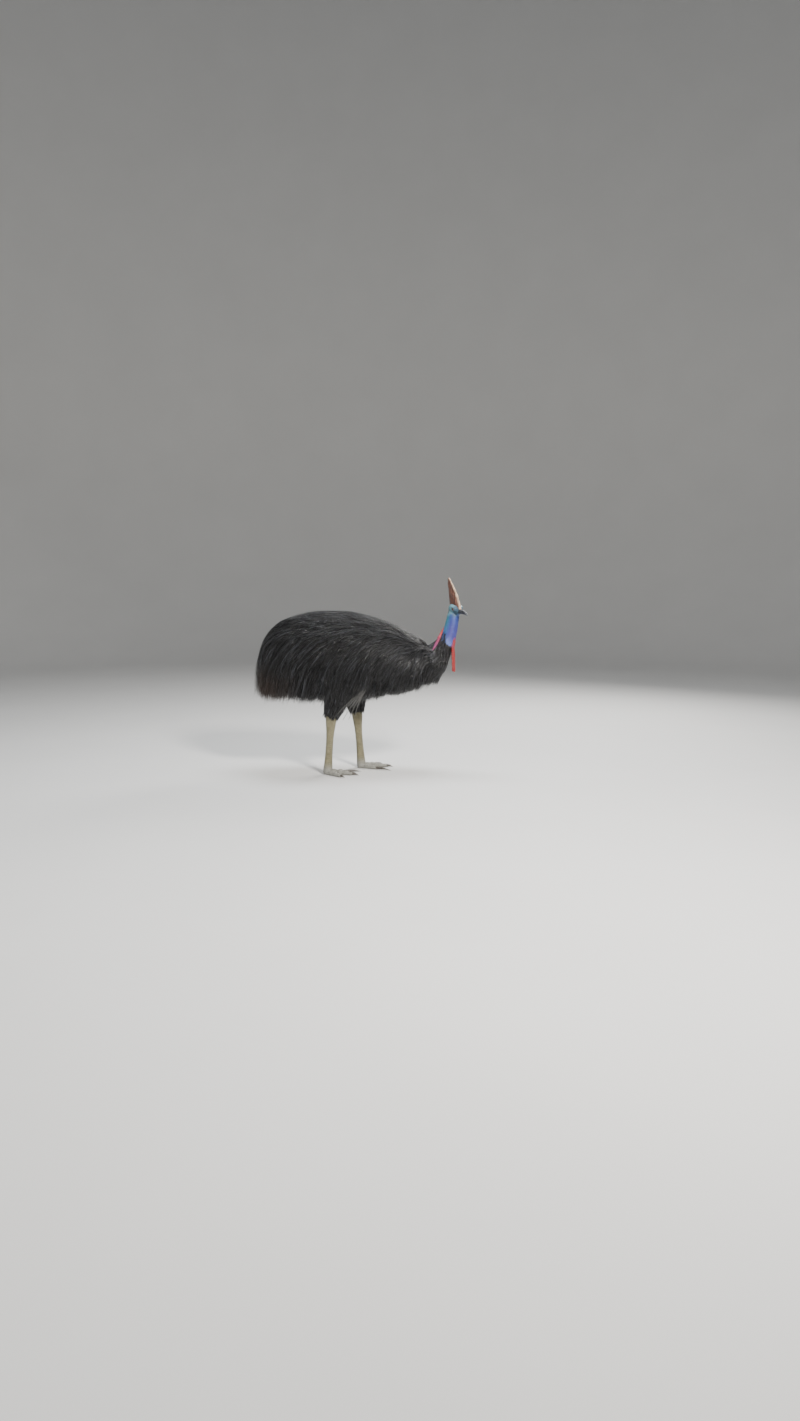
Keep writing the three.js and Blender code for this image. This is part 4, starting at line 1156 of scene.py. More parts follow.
def toe_form(leg, toe, rows=60, count=32):
    """A toe as a rod that swells at each joint: its half size is the toe's thickness times
    lerp(1.08, 0.8, t) - 0.2 t^12 + 0.085 cos(2 pi t length / 42), rounded off at the tip."""
    root, along = toe_line(leg, toe)
    t = np.linspace(0, 1.02, rows)
    joints = 0.085 * np.cos(2 * np.pi * t * toe["length"] / 42)
    half = toe["thick"] * (lerp(1.08, 0.8, t) - 0.2 * np.minimum(t, 1) ** 12 + joints)
    half = half * np.sqrt(np.clip((1.045 - t) / 0.06, 0.05, 1))
    centre = root + along * (toe["length"] * t)[:, None]
    rows = np.column_stack([centre[:, :2], half - 2.4, half * 0.97, half])
    return tube(rod_rings(rows, [0, 0, 1], count))


def plates(distance, step, sharp=3.0):
    """Height 0..1 of overlapping plates: each rises slowly over its step and drops at its lower
    edge within 1 / (2 sharp) of it."""
    phase = np.mod(distance / step, 1.0)
    return ease(phase * 1.4) - ease((phase - 1 + 1 / (2 * sharp)) * 2 * sharp)


def leg_skin(name, leg):
    """Fuses one leg, raises its plates and marks their edges."""
    forms = [shank_form(leg)] + [toe_form(leg, toe) for toe in TOES.values()]
    skin = fused("skin_leg_" + name, forms, voxel=1.9, relax=2)
    points, normals = surface(skin)
    top, foot = np.array(leg["ankle"], float), np.array(leg["foot"], float)
    down = (top[2] - points[:, 2]) / top[2]
    axis = lerp(top[:2], foot[:2], down[:, None])
    heading = np.radians(leg["heading"])
    forward = (points[:, :2] - axis) @ np.array([np.cos(heading), np.sin(heading)])
    on_shank = ease((points[:, 2] - 44) / 16)
    front = ease((forward - 2) / 8) * on_shank
    height = front * PLATE_HEIGHT * plates(top[2] - points[:, 2] + 0.02 * forward**2, PLATE_STEP)
    on_plate = front
    for toe in TOES.values():
        root, along = toe_line(leg, toe)
        across = np.array([-along[1], along[0], 0.0])
        run, aside = (points - root) @ along, (points - root) @ across
        near = ease((toe["thick"] * 1.15 - np.abs(aside)) / 4) * ease((run - 26) / 8) * (1 - on_shank)
        top_side = near * ease((normals[:, 2] - 0.1) / 0.4)
        height = height + top_side * TOE_PLATE_HEIGHT * plates(toe["length"] - run, TOE_PLATE_STEP)
        on_plate = np.maximum(on_plate, top_side)
    net = (1 - on_plate) * (0.35 * ripple(points, 6.5, 51) + 0.25 * ripple(points, 3.6, 52))
    points = points + normals * (height + net - 0.5)[:, None]
    points[:, 2] = np.maximum(points[:, 2], 0.0)
    reshape(skin, points)
    mark(skin, "plate", on_plate)
    mark(skin, "edge", np.clip(1 - height / 0.7, 0, 1) * on_plate)
    mark(skin, "sole", ease((16 - points[:, 2]) / 16))
    mark(skin, "foot", ease((90 - points[:, 2]) / 70))
    toe_nodes = ["toe_" + toe_name + "_" + name for toe_name in TOES]
    finish_piece(skin, leg_scale, "leg_scale", "shank_" + name, "foot_" + name, *toe_nodes)


print("plates stand out by", PLATE_HEIGHT, "mm on the shank and", TOE_PLATE_HEIGHT, "on the toes")

# %% [markdown]
# The legs are olive brown, with pale dust on the scales and greyer feet. The small scales are a
# net of cells, dark along its lines, and the markings for plates, their lower edges and the
# sole steer the rest.

# %% Finish of the legs
leg_scale, tree, shader = new_material("leg_scale", Roughness=0.55, Coat_Weight=0.1, Coat_Roughness=0.4)
tone = pattern(tree, "mottle", Scale=45.0, Contrast=1.7)
fine = pattern(tree, "mottle", Scale=260.0, Contrast=1.6)
olive = blend(tree, tone, (0.125, 0.110, 0.055), (0.27, 0.24, 0.14))
foot_grey = blend(tree, fine, (0.20, 0.195, 0.17), (0.37, 0.365, 0.33))
leg_colour = blend(tree, marking(tree, "foot"), olive, foot_grey)
dusty = band(tree, fine, 0.5, 1.0, leg_colour, (0.42, 0.39, 0.30), 0.4)
scale_net = pattern(tree, "grain", Scale=120.0, Uneven=0.8)
netted = blend(tree, sloped(tree, scale_net, 0.0, 0.05, 0.55, 0.0), dusty, (0.055, 0.048, 0.030))
dusty = band(tree, marking(tree, "plate"), 0.2, 0.8, netted, dusty)
edged = band(tree, marking(tree, "edge"), 0.35, 0.95, dusty, (0.060, 0.052, 0.035), 0.85)
soled = band(tree, marking(tree, "sole"), 0.3, 1.0, edged, (0.10, 0.09, 0.075), 0.5)
paint(tree, shader, soled)
bump(tree, shader, sum_of(tree, scale_net, pattern(tree, "grain", Scale=330.0), 0.35), 0.014, 0.8)
for name, leg in LEGS.items():
    leg_skin(name, leg)
print("scaled legs", sorted(LEGS))

# %% [markdown]
# Each toe ends in a claw, and the inner one is a long dagger that this bird fights with. A claw
# is a cone that bends down and thins to a point, with a flatter underside, so a rod of ovals
# along an arched line gives it.

# %% Claws
CLAW_RINGS = 40
CLAW_SIDES = 24
CLAW_CLEAR = 0.05  # lowest point over the floor

claw_horn, tree, shader = new_material("claw_horn", Roughness=0.35, Coat_Weight=0.2, Coat_Roughness=0.3)
fibre = pattern(tree, "mottle", Scale=210.0, Contrast=1.6)
claw_colour = blend(tree, fibre, (0.03, 0.027, 0.024), (0.12, 0.105, 0.085))
claw_tip = band(tree, marking(tree, "tip"), 0.55, 1.0, claw_colour, (0.20, 0.18, 0.15), 0.7)
paint(tree, shader, claw_tip)
bump(tree, shader, fibre, 0.0008)


def claw_rings(leg, toe):
    """Ovals of half size thick * 0.6 * (1 - t^1.6) along a line that falls to the floor over an
    arch of 5 mm times sin(pi t)."""
    root, along = toe_line(leg, toe)
    t = np.linspace(0, 1, CLAW_RINGS)
    half = np.maximum(toe["thick"] * 0.6 * (1 - t**1.6), 0.5)
    centre = root + along * (toe["length"] - 4 + (toe["claw"] + 4) * t)[:, None]
    height = lerp(toe["thick"] * 0.72 - 1, 1.4, t) + 5.0 * np.sin(np.pi * t)
    rows = np.column_stack([centre[:, :2], height, half * 0.8, half])
    rings = rod_rings(rows, [0, 0, 1], CLAW_SIDES)
    rings[..., 2] = np.maximum(rings[..., 2], CLAW_CLEAR)
    return rings


tip_mark = np.concatenate([np.repeat(np.linspace(0, 1, CLAW_RINGS), CLAW_SIDES), [0, 1]])
for leg_name, leg in LEGS.items():
    for toe_name, toe in TOES.items():
        claw = new_piece("nail_" + toe_name + "_" + leg_name, *tube(claw_rings(leg, toe)))
        mark(claw, "tip", tip_mark)
        finish_piece(claw, claw_horn, "claw_horn", "claw_" + toe_name + "_" + leg_name)

# %% [markdown]
# The wings are stubs, hidden in the plumage but for a few bare quills that hang out like thick
# wires. Each quill is a thin rod on a sagging line from the hand, and the arm is a short rod. Both
# are glossy black, so their mid grey colour is painted sheen.

# %% Wings and quills
# Both tables are for the left wing, and the other side takes them with Y turned about.
WING_ARM = np.array([[300, 122, 690], [240, 146, 648], [168, 162, 604]], float)
QUILL_TIPS = np.array(
    [[-62, 178, 386], [-22, 184, 394], [-4, 178, 372], [34, 184, 374], [74, 178, 398]], float
)
QUILL_SAG = 16.0
QUILL_ROOT = 3.2  # half sizes of its two ends
QUILL_TIP = 1.0

# Painted sheen: the grey mottle stands in for the shine on glossy black quills.
quill_horn_painted_sheen, tree, shader, fibre = mottled_finish(
    "quill_horn_painted_sheen", 90.0, 1.5, (0.040, 0.038, 0.036), (0.13, 0.125, 0.115),
    Roughness=0.28, Coat_Weight=0.3, Coat_Roughness=0.2,
)
bump(tree, shader, fibre, 0.0005)


def quill_form(tip, side, rows=40):
    """A thin rod from hand to tip that sags by sin(pi t), twice as much backwards as down."""
    t = np.linspace(0, 1, rows)
    p = lerp(WING_ARM[-1], tip, t[:, None])
    sag = QUILL_SAG * np.sin(np.pi * t)
    half = lerp(QUILL_ROOT, QUILL_TIP, t)
    rows = np.column_stack([p[:, 0] - sag, side * p[:, 1], p[:, 2] - sag / 2, half, half])
    return tube(rod_rings(rows, [0, 1, 0], 10))


def arm_form(side, rows=24):
    """The arm as a rod through shoulder, elbow and hand."""
    t = np.linspace(0, 2, rows)
    p = through(np.column_stack([[0, 1, 2], WING_ARM]), t)
    rows = np.column_stack([p[:, 0], side * p[:, 1], p[:, 2], lerp(12, 8, t / 2), lerp(14, 10, t / 2)])
    return tube(rod_rings(rows, [0, 0, 1], 20))


for name, side in SIDES.items():
    forms = [arm_form(side)] + [quill_form(tip, side) for tip in QUILL_TIPS]
    wing = new_piece("quills_" + name, *joined(forms))
    finish_piece(wing, quill_horn_painted_sheen, "quill", "wing_" + name)

# %% [markdown]
# A cassowary's feathers look like coarse hair: each is a limp shaft with loose barbs, and they
# lie in layers that hang past the belly. Each strand here is a thin closed blade of six
# sections. All strands of a layer are bent together as one array, which takes seconds where
# single objects would take hours.

# %% Shape of one strand
STATIONS = 6
SHARES = np.linspace(0, 1, STATIONS)  # of the way from root to tip, at each section
PATCH = 0.0015  # half the width of a strand's patch on the unwrap


def strand_triangles(count):
    """Triangles of count blades, each of STATIONS sections of three points, both ends shut."""
    i, j = np.meshgrid(np.arange(STATIONS - 1) * 3, np.arange(3), indexing="ij")
    k = (j + 1) % 3
    end = 3 * (STATIONS - 1)
    caps = np.array([[0, 2, 1], [end, end + 1, end + 2]])
    one = np.concatenate([halves(i + j, i + k, i + 3 + k, i + 3 + j), caps])
    return (one[None] + (np.arange(count) * 3 * STATIONS)[:, None, None]).reshape(-1, 3)


def blades(paths, outs, widths, twist):
    """Sections round each path: two edges at half the width to the sides and a ridge raised by a
    quarter of the width, all turned about the path by the twist. The width is w (0.45 + 0.55
    sin(pi (1.25 t + 0.1))) (1.02 - t^2.2), its sine held at 1 once it gets there."""
    along = unit(np.gradient(paths, axis=1))
    side = unit(np.cross(along, outs))
    up = np.cross(side, along)
    side = side * np.cos(twist)[:, None, None] + up * np.sin(twist)[:, None, None]
    up = np.cross(side, along)
    swell = 0.45 + 0.55 * np.sin(np.pi * np.minimum(SHARES * 1.25 + 0.1, 0.5))
    half = (widths[:, None] * 0.5 * swell * (1.02 - SHARES**2.2))[..., None]
    return np.stack([paths - side * half, paths + side * half, paths + up * half * 0.5], 2)


def coat_piece(name, paths, outs, widths, roots_uv, draw):
    """One mesh of many strands. It is marked with the shade of each strand, the way to its tip and
    the way across it, and its unwrap has a small patch for each strand at its root's place."""
    count = len(paths)
    points = blades(paths, outs, widths, draw.uniform(-0.35, 0.35, count))
    triangles = strand_triangles(count)
    if enclosed(points[0].reshape(-1, 3), strand_triangles(1)) < 0:
        triangles = triangles[:, ::-1]
    coat = new_piece(name, points.reshape(-1, 3), triangles)
    mark(coat, "tip", np.tile(np.repeat(SHARES, 3), count))
    mark(coat, "shade", np.repeat(draw.uniform(0, 1, count), 3 * STATIONS))
    mark(coat, "across", np.tile([-1.0, 1.0, 0.0], count * STATIONS))
    across = np.tile([-PATCH, PATCH, 0.0], STATIONS)
    patch = np.stack([across, np.repeat(SHARES, 3) * 2 * PATCH], -1)
    uv = (0.02 + 0.96 * roots_uv[:, None] + patch[None]).reshape(-1, 2)
    layer = coat.data.uv_layers.new(name="OFBake")
    layer.data.foreach_set("uv", uv[triangles.ravel()].astype(np.float32).ravel())
    return coat


print("a strand has", len(strand_triangles(1)), "triangles")

# %% [markdown]
# The feathers follow the form they grow on and fall by their weight. A strand starts a little
# under the skin and takes equal steps along the lie; each step lifts it towards its layer's
# height where the form carries it, and lets it hang where the form turns under.

# %% Lie of the coat
SUNK = 6.0  # depth of a root under the form
LEAN = [  # X and degrees back from straight down
    [-625, 6], [-560, 16], [-480, 23], [-300, 38], [0, 42], [250, 38], [430, 44], [620, 46],
]
TOP_LEAN = 84.0  # degrees from straight down where the form faces up
NECK_NEAR = 300.0  # X from which the neck counts as part of the form


def form_distance(p):
    """Distance out of trunk and neck together, the smaller of the two, and the way out."""
    distance, out = trunk_distance(p)
    near = np.flatnonzero(p[:, 0] > NECK_NEAR)
    if len(near):
        from_neck, neck_out, key = neck_distance(p[near])
        closer = (from_neck < distance[near]) & (key < NECK_BASE_TOP)
        chosen = near[closer]
        distance[chosen], out[chosen] = from_neck[closer], neck_out[closer]
    return distance, out


def lie(p, out, sway):
    """Down and back: turned back from straight down by the lean at that X, nearly level on top of
    the back, less where the form turns under, and flat on the form where that carries the strand."""
    carried = ease((out[:, 2] + 0.30) / 0.45)
    lean = through(LEAN, p[:, 0])[:, 0] * lerp(0.45, 1.0, carried)
    lean = np.radians(lerp(lean, TOP_LEAN, ease((out[:, 2] + 0.1) / 0.95)) + 5 * sway)
    way = np.stack([-np.sin(lean), 0.06 * sway, -np.cos(lean)], -1)
    way = way - out * ((way * out).sum(-1) * carried)[:, None]
    return unit(way), carried


def trace(roots, lengths, lift, sway):
    """Paths of strands in equal steps, with the way out at each station."""
    p = roots.copy()
    step = lengths / (STATIONS - 1)
    paths = np.empty((len(p), STATIONS, 3))
    outs = np.empty_like(paths)
    way = None
    for k in range(STATIONS):
        t = k / (STATIONS - 1)
        distance, out = form_distance(p)
        wanted, carried = lie(p, out, sway)
        change = lerp(-SUNK, lift, min(1.0, 1.7 * t) ** 0.8) - distance
        p = p + out * np.where(change < 0, change * carried, np.minimum(change, step))[:, None]
        paths[:, k], outs[:, k] = p, out
        way = wanted if way is None else unit(lerp(way, wanted, 0.6))
        p = p + way * step[:, None]
    return paths, outs


print("lie at the flank", lie(np.array([[0.0, 208, 800]]), np.array([[0, 1.0, 0]]), np.zeros(1))[0].round(2))

# %% [markdown]
# Strands cling together where they are oily or wet. Each is bent a little at random first and is
# then drawn towards the one that leads its tuft. Roots are spread evenly by drawing triangles of
# the form by their area, as a particle system does.

# %% Tufts and roots
TUFT_NEAR = 40.0  # gaps between tips at which the pull into a tuft starts to fade and ends
TUFT_FAR = 90.0


def loosened(paths, reach, draw):
    """Strands bent off their paths at random, by 0 at the root and by about reach at the tip."""
    return paths + (reach * SHARES)[None, :, None] * draw.normal(0, 1, (len(paths), 1, 3))


def clumped(paths, anchors, gather):
    """Draws strands towards the strand that leads their group, by gather * t^1.3, and less where
    their tips lie more than TUFT_NEAR apart. The strand nearest to an anchor leads its group."""
    roots = paths[:, 0]
    leaders = np.unique(np.linalg.norm(roots[:, None] - anchors[None], axis=-1).argmin(0))
    nearest = np.linalg.norm(roots[:, None] - roots[None, leaders], axis=-1).argmin(1)
    aim = paths[leaders[nearest]]
    tips = np.linalg.norm(aim[:, -1] - paths[:, -1], axis=-1)
    close = ease((TUFT_FAR - tips) / (TUFT_FAR - TUFT_NEAR))
    return lerp(paths, aim, gather * SHARES[None, :, None] ** 1.3 * close[:, None, None])


def scattered_roots(form, count, draw):
    """Points spread evenly over a form: triangles drawn by their area, then a place in each."""
    points, triangles = form
    corners = points[triangles]
    area = np.linalg.norm(np.cross(corners[:, 1] - corners[:, 0], corners[:, 2] - corners[:, 0]), axis=1)
    chosen = corners[draw.choice(len(triangles), count, p=area / area.sum())]
    a, b = np.sqrt(draw.uniform(size=(2, count, 1)))
    return chosen[:, 0] * (1 - a) + chosen[:, 1] * a * (1 - b * b) + chosen[:, 2] * a * b * b


test_roots = scattered_roots(trunk_form(), 1000, np.random.default_rng(1))
print("middle of 1000 roots", test_roots.mean(0).round())

# %% [markdown]
# The plumage is almost black. Up close each strand is a very dark brown with a cool shine along
# its upper side, paler and browner where the tips have worn and bleached at the back. Each
# strand takes its own shade of dark, and about one strand in seven is painted pale silver grey as a
# painted sheen. A noise drawn out along each strand splits its shine into fine barbs.

# %% Finish of the plumage
plumage, tree, shader = new_material("plumage", Specular_IOR_Level=0.6)
shade = marking(tree, "shade")
wear = pattern(tree, "mottle", Scale=7.0, Contrast=2.0)
dark = band(tree, shade, 0.0, 0.85, (0.0020, 0.0021, 0.0028), (0.009, 0.008, 0.008))
# Painted sheen: about one strand in seven turns pale silver grey, standing in for the shine on glossy black
# strands.
dark = band(tree, shade, 0.86, 1.0, dark, (0.085, 0.088, 0.100))
split = tree.nodes.new("ShaderNodeSeparateXYZ")
tree.links.new(object_place(tree), split.inputs[0])
rear = sloped(tree, split.outputs["X"], -0.25, -0.68)
low = sloped(tree, split.outputs["Z"], 0.85, 0.50)
worn = sum_of(tree, worked(tree, "MULTIPLY", rear, low), wear, 0.35)
tipped = sum_of(tree, worn, marking(tree, "tip"), 0.25)
browned = band(tree, tipped, 0.5, 1.5, dark, (0.040, 0.025, 0.018))
paint(tree, shader, browned)
tree.links.new(sloped(tree, shade, 0.0, 1.0, 0.20, 0.38), shader.inputs["Roughness"])
along_barbs = tree.nodes.new("ShaderNodeCombineXYZ")
tree.links.new(marking(tree, "across"), along_barbs.inputs["X"])
tree.links.new(shade, along_barbs.inputs["Y"])
tree.links.new(marking(tree, "tip"), along_barbs.inputs["Z"])
stretch = (3.2, 60.0, 1.6)  # waves across a strand, from strand to strand and along one
barbs = worked(tree, "MULTIPLY", along_barbs.outputs[0], stretch, kind="ShaderNodeVectorMath")
bump(tree, shader, noise(tree, barbs, 1.0, 2.0), 0.0016)
print("plumage has", len(tree.nodes), "nodes")

# %% [markdown]
# The trunk's coat is laid in six layers. The lowest is short and dense and hides the skin; the
# upper ones are longer, wider apart and gathered into wisps. Strands grow longer towards the
# rump, and those that would pass the hem are cut back to its ragged line.

# %% Coat of the trunk
LAYERS = {
    "under": {"lift": 7, "length": 0.5, "width": 10.0, "gather": 0.1, "strands": 6100},
    "lower": {"lift": 12, "length": 0.8, "width": 6.2, "gather": 0.3, "strands": 5400},
    "middle": {"lift": 16, "length": 0.95, "width": 4.8, "gather": 0.45, "strands": 5600},
    "upper": {"lift": 20, "length": 1.1, "width": 3.9, "gather": 0.58, "strands": 5800},
    "outer": {"lift": 23, "length": 1.2, "width": 3.2, "gather": 0.68, "strands": 5800},
    "wisps": {"lift": 26, "length": 1.35, "width": 2.5, "gather": 0.78, "strands": 2800},
}
STRAND_SHARE = 1.0
TUFTS = 330  # groups that the strands of every layer gather in
HEM = [  # X and height of the lower edge of the plumage
    [-610, 500], [-540, 484], [-300, 478], [-130, 446], [0, 424],
    [110, 452], [240, 510], [380, 532], [560, 556],
]
STRAND_LENGTHS = [[-560, 290], [-400, 280], [-150, 235], [150, 200], [400, 160], [620, 125]]
HEM_RAGGED = 30.0
PARTING = (-120.0, 190.0)  # X between which the outer feathers end higher, over the quills
PARTING_SIDE = 170.0
PARTING_RISE = 80.0


def trunk_uv(roots):
    """Unwrap of the trunk: the share of its length by the turn round its axis."""
    turn = np.arctan2(roots[:, 1], roots[:, 2] - axis_height(roots[:, 0]))
    return np.stack([np.clip((roots[:, 0] + 560) / 1280, 0, 1), turn / (2 * np.pi) + 0.5], -1)


def trunk_layer(name, layer, seed):
    """Scatters, traces, trims and gathers one layer of the trunk's coat."""
    draw = np.random.default_rng(seed)
    roots = scattered_roots(COAT_GROUND, int(layer["strands"] * STRAND_SHARE), draw)
    distance, out = form_distance(roots)
    keep = distance > -4
    roots, out = roots[keep], out[keep]
    count = len(roots)
    sway = 0.7 * draw.normal(0, 1, count) + 1.5 * ripple(roots, 170, 61) + 0.7 * ripple(roots, 62, 62)
    sway = np.clip(sway, -3, 3)
    lengths = through(STRAND_LENGTHS, roots[:, 0])[:, 0] * layer["length"]
    lengths = lengths * draw.uniform(0.75, 1.2, count)
    lengths = lengths * lerp(1.0, 0.45, ease((-out[:, 2] - 0.35) / 0.5))
    lift = layer["lift"] * draw.uniform(0.7, 1.1, count) + 3.5 * ripple(roots, 95, 63)
    paths, outs = trace(roots, lengths, lift, sway)
    tip = paths[:, -1]
    parted = (tip[:, 0] > PARTING[0]) & (tip[:, 0] < PARTING[1]) & (np.abs(tip[:, 1]) > PARTING_SIDE)
    hem = through(HEM, tip[:, 0])[:, 0] + np.where(parted, PARTING_RISE, 0)
    hem = hem + draw.uniform(-0.4, 1.0, count) * HEM_RAGGED + 12 * ripple(tip, 105, 64)
    drop = (roots[:, 2] - hem) / np.maximum(roots[:, 2] - tip[:, 2], 1)
    over = (drop < 1) & (roots[:, 2] > tip[:, 2])
    lengths = np.where(over, lengths * np.clip(drop, 0.25, 1), lengths)
    paths, outs = trace(roots, lengths, lift, sway)
    paths = clumped(loosened(paths, 2.2, draw), TUFT_PLACES, layer["gather"])
    widths = layer["width"] * draw.uniform(0.7, 1.25, count)
    coat = coat_piece("coat_" + name, paths, outs, widths, trunk_uv(roots), draw)
    finish_piece(coat, plumage, "plumage")


COAT_GROUND = joined([trunk_form(90, 96), neck_form(0.2, 2.2, 24)])
TUFT_PLACES = scattered_roots(COAT_GROUND, TUFTS, np.random.default_rng(99))
for number, (name, layer) in enumerate(LAYERS.items()):
    trunk_layer(name, layer, 100 + 10 * number)

# %% [markdown]
# On the root of the neck the feathers shorten to hairs and stop at a ragged line. They lie down
# the neck on both sides of the red folds, so their places are given by the key along the neck
# and by the share of the way round to the fold, which stays the same along each strand.

# %% Coat of the neck
NECK_STRANDS = 6000
NECK_STRAND_LENGTHS = [[0, 120], [1, 110], [2, 80], [3, 50], [3.6, 32], [4.8, 26]]
SIDE_CLIMB = 1.1  # keys that the plumage climbs higher at the sides than on the throat
KEY_STEP = 66.0  # millimetres along the neck for one key, near its root
NECK_LIFTS = [[0, 20], [1.5, 16], [2.5, 10], [3.6, 4], [4.8, 3]]
NECK_STRAND_WIDTHS = [[0, 4.4], [2, 3.0], [3.4, 1.7], [4.8, 1.1]]
STRANDS_IN_TUFT = 22
SHORT_GATHER = 0.55  # how far the short strands of neck and thighs are drawn into tufts
NECK_COAT_START = 1.5  # lowest key of a root
NECK_COAT_END = 0.9  # key that no strand of the sides passes, where the neck's curve turns level


def neck_roots(draw):
    """Key, side, whether behind the fold, and share of the way round for each strand. The roots
    reach up to a ragged top line, which climbs at the sides between throat and folds, and keep
    off the folds themselves."""
    count = NECK_STRANDS * 2
    key = NECK_COAT_START + (3.75 - NECK_COAT_START + SIDE_CLIMB) * draw.uniform(size=count) ** 0.9
    side = np.where(draw.uniform(size=count) < 0.5, -1.0, 1.0)
    behind = draw.uniform(size=count) < 0.42
    share = draw.uniform(size=count)
    _, _, _, _, _, width = neck_frames(key)
    clear = 13.0 / width
    fold_turn = nape_turn(key)
    room = np.where(behind, np.pi - fold_turn, fold_turn)
    turn = np.where(behind, fold_turn + share * room, share * room)
    gap = np.abs(turn - fold_turn)
    top = NECK_BASE_TOP + np.where(behind, 0.0, SIDE_CLIMB * ease((turn - 0.95) / 0.8))
    thin = ease((top + 0.25 - key) / 0.7) * ((gap > clear) | (key < NAPE_FOOT + 0.35))
    keep = np.flatnonzero(draw.uniform(size=count) < thin)[:NECK_STRANDS]
    return key[keep], side[keep], behind[keep], share[keep]


def neck_coat():
    """Strands that keep their share of the way round as they run down the neck, at least as high
    over the trunk as over the neck."""
    draw = np.random.default_rng(201)
    key, side, behind, share = neck_roots(draw)
    count = len(key)
    lengths = through(NECK_STRAND_LENGTHS, key)[:, 0] * draw.uniform(0.7, 1.2, count)
    lengths = lengths * np.where(behind, 1 + 0.5 * share, 1)
    end = NECK_COAT_END * np.where(behind, 1 - share**0.5, 1)
    lengths = np.minimum(lengths, (key - end) * KEY_STEP)
    lift = through(NECK_LIFTS, key)[:, 0] * draw.uniform(0.5, 1.15, count)
    keys = np.maximum(key[:, None] - lengths[:, None] * SHARES / KEY_STEP, 0.02)
    fold_turn = nape_turn(keys)
    turn = np.where(behind[:, None], lerp(fold_turn, np.pi, share[:, None]), fold_turn * share[:, None])
    centre, _, facing, leftward, depth, width = neck_frames(keys.ravel())
    angle = (turn * side[:, None]).ravel()
    out = unit(facing * (np.cos(angle) * width)[:, None] + leftward * (np.sin(angle) * depth)[:, None])
    height = lerp(-3.0, lift[:, None], np.minimum(1, 1.6 * SHARES) ** 0.8).ravel()
    paths = centre + facing * (np.cos(angle) * depth)[:, None]
    paths = paths + leftward * (np.sin(angle) * width)[:, None] + out * height[:, None]
    distance, trunk_out = trunk_distance(paths)
    paths = paths + trunk_out * np.maximum(height - distance, 0)[:, None]
    shape = (count, STATIONS, 3)
    paths, outs = paths.reshape(shape), out.reshape(shape)
    paths = loosened(paths, 1.5, draw)
    paths = clumped(paths, paths[::STRANDS_IN_TUFT, 0], SHORT_GATHER)
    widths = through(NECK_STRAND_WIDTHS, key)[:, 0] * draw.uniform(0.7, 1.2, count)
    uv = np.stack([side * turn[:, 0] / (2 * np.pi) + 0.5, key / 5], -1)
    coat = coat_piece("coat_neck", paths, outs, widths, uv, draw)
    finish_piece(coat, plumage, "plumage")


neck_coat()

# %% [markdown]
# Shorter feathers sheathe the thighs and end round the ankle. They are laid in the same way,
# by the share of the way from hip to ankle and the turn round the bone.

# %% Coat of the thighs
THIGH_STRANDS = 3300


def thigh_coat(name, leg, seed):
    """Strands round one thigh, rooted from an eighth of the way down to just over the ankle."""
    draw = np.random.default_rng(seed)
    count = THIGH_STRANDS
    hip, ankle = np.array(leg["hip"], float), np.array(leg["ankle"], float)
    start = 0.12 + 0.82 * draw.uniform(size=count) ** 0.9
    turn = draw.uniform(0, 2 * np.pi, count)
    bone = np.linalg.norm(ankle - hip)
    lengths = lerp(105, 42, start) * draw.uniform(0.7, 1.15, count)
    place = start[:, None] + lengths[:, None] * SHARES / bone
    sizes = through(THIGH, np.clip(place, 0, 1))
    down = unit(ankle - hip)
    forward = unit(np.array([1.0, 0, 0]) - down * down[0])
    sideways = np.cross(down, forward)
    out = unit(forward * np.cos(turn)[:, None] + sideways * np.sin(turn)[:, None])
    lift = lerp(18.0, 7.0, start) * draw.uniform(0.5, 1.1, count)
    height = lerp(-4.0, lift[:, None], np.minimum(1, 1.6 * SHARES))
    ahead = (sizes[..., 0] + height) * np.cos(turn)[:, None]
    aside = (sizes[..., 1] + height) * np.sin(turn)[:, None]
    paths = lerp(hip, ankle, place[..., None]) + ahead[..., None] * forward + aside[..., None] * sideways
    outs = np.broadcast_to(out[:, None], paths.shape)
    paths = loosened(paths, 1.8, draw)
    paths = clumped(paths, paths[::STRANDS_IN_TUFT, 0], SHORT_GATHER)
    widths = lerp(6.0, 3.6, start) * draw.uniform(0.7, 1.2, count)
    uv = np.stack([turn / (2 * np.pi), start], -1)
    coat = coat_piece("coat_thigh_" + name, paths, outs, widths, uv, draw)
    finish_piece(coat, plumage, "plumage")


for name, leg in LEGS.items():
    thigh_coat(name, leg, 301 + leg["side"])

# %% [markdown]
# Sparse bristles grow round the ear, at the gape and down the back of the bare neck, and the
# upper lids carry lashes. All are the same blades as the feathers, only 0.6 mm wide,
# and they break the smooth outline.

# %% Bristles
BRISTLE_WIDTH = 0.6

bristle, *_ = mottled_finish(
    "bristle", 300.0, 1.5, (0.006, 0.006, 0.007), (0.03, 0.027, 0.025), Roughness=0.5
)


def lashes(draw, each=30):
    """Paths of the lashes: from the upper half of each lid's rim, outward and away from the eye,
    with tips that bend up by 2 mm times t^2."""
    t = SHARES[None, :, None]
    paths = []
    for side in SIDES.values():
        turn = np.radians(draw.uniform(15, 165, each))
        x, z = lid_rim(turn)
        y = np.full(each, side * (EYE_PLACE[1] + 11.0))
        way = np.stack([np.cos(turn) - 0.2, np.full(each, side * 1.5), 0.7 * np.sin(turn) + 0.2], -1)
        way = unit(way + 0.12 * draw.normal(size=way.shape))
        length = draw.uniform(6, 9, each)[:, None, None]
        paths.append(np.stack([x, y, z], -1)[:, None] + way[:, None] * t * length + [0, 0, 2.0] * t**2)
    paths = on_head(np.concatenate(paths))
    return paths, np.broadcast_to(HEAD_TURN[:, 2], paths.shape)


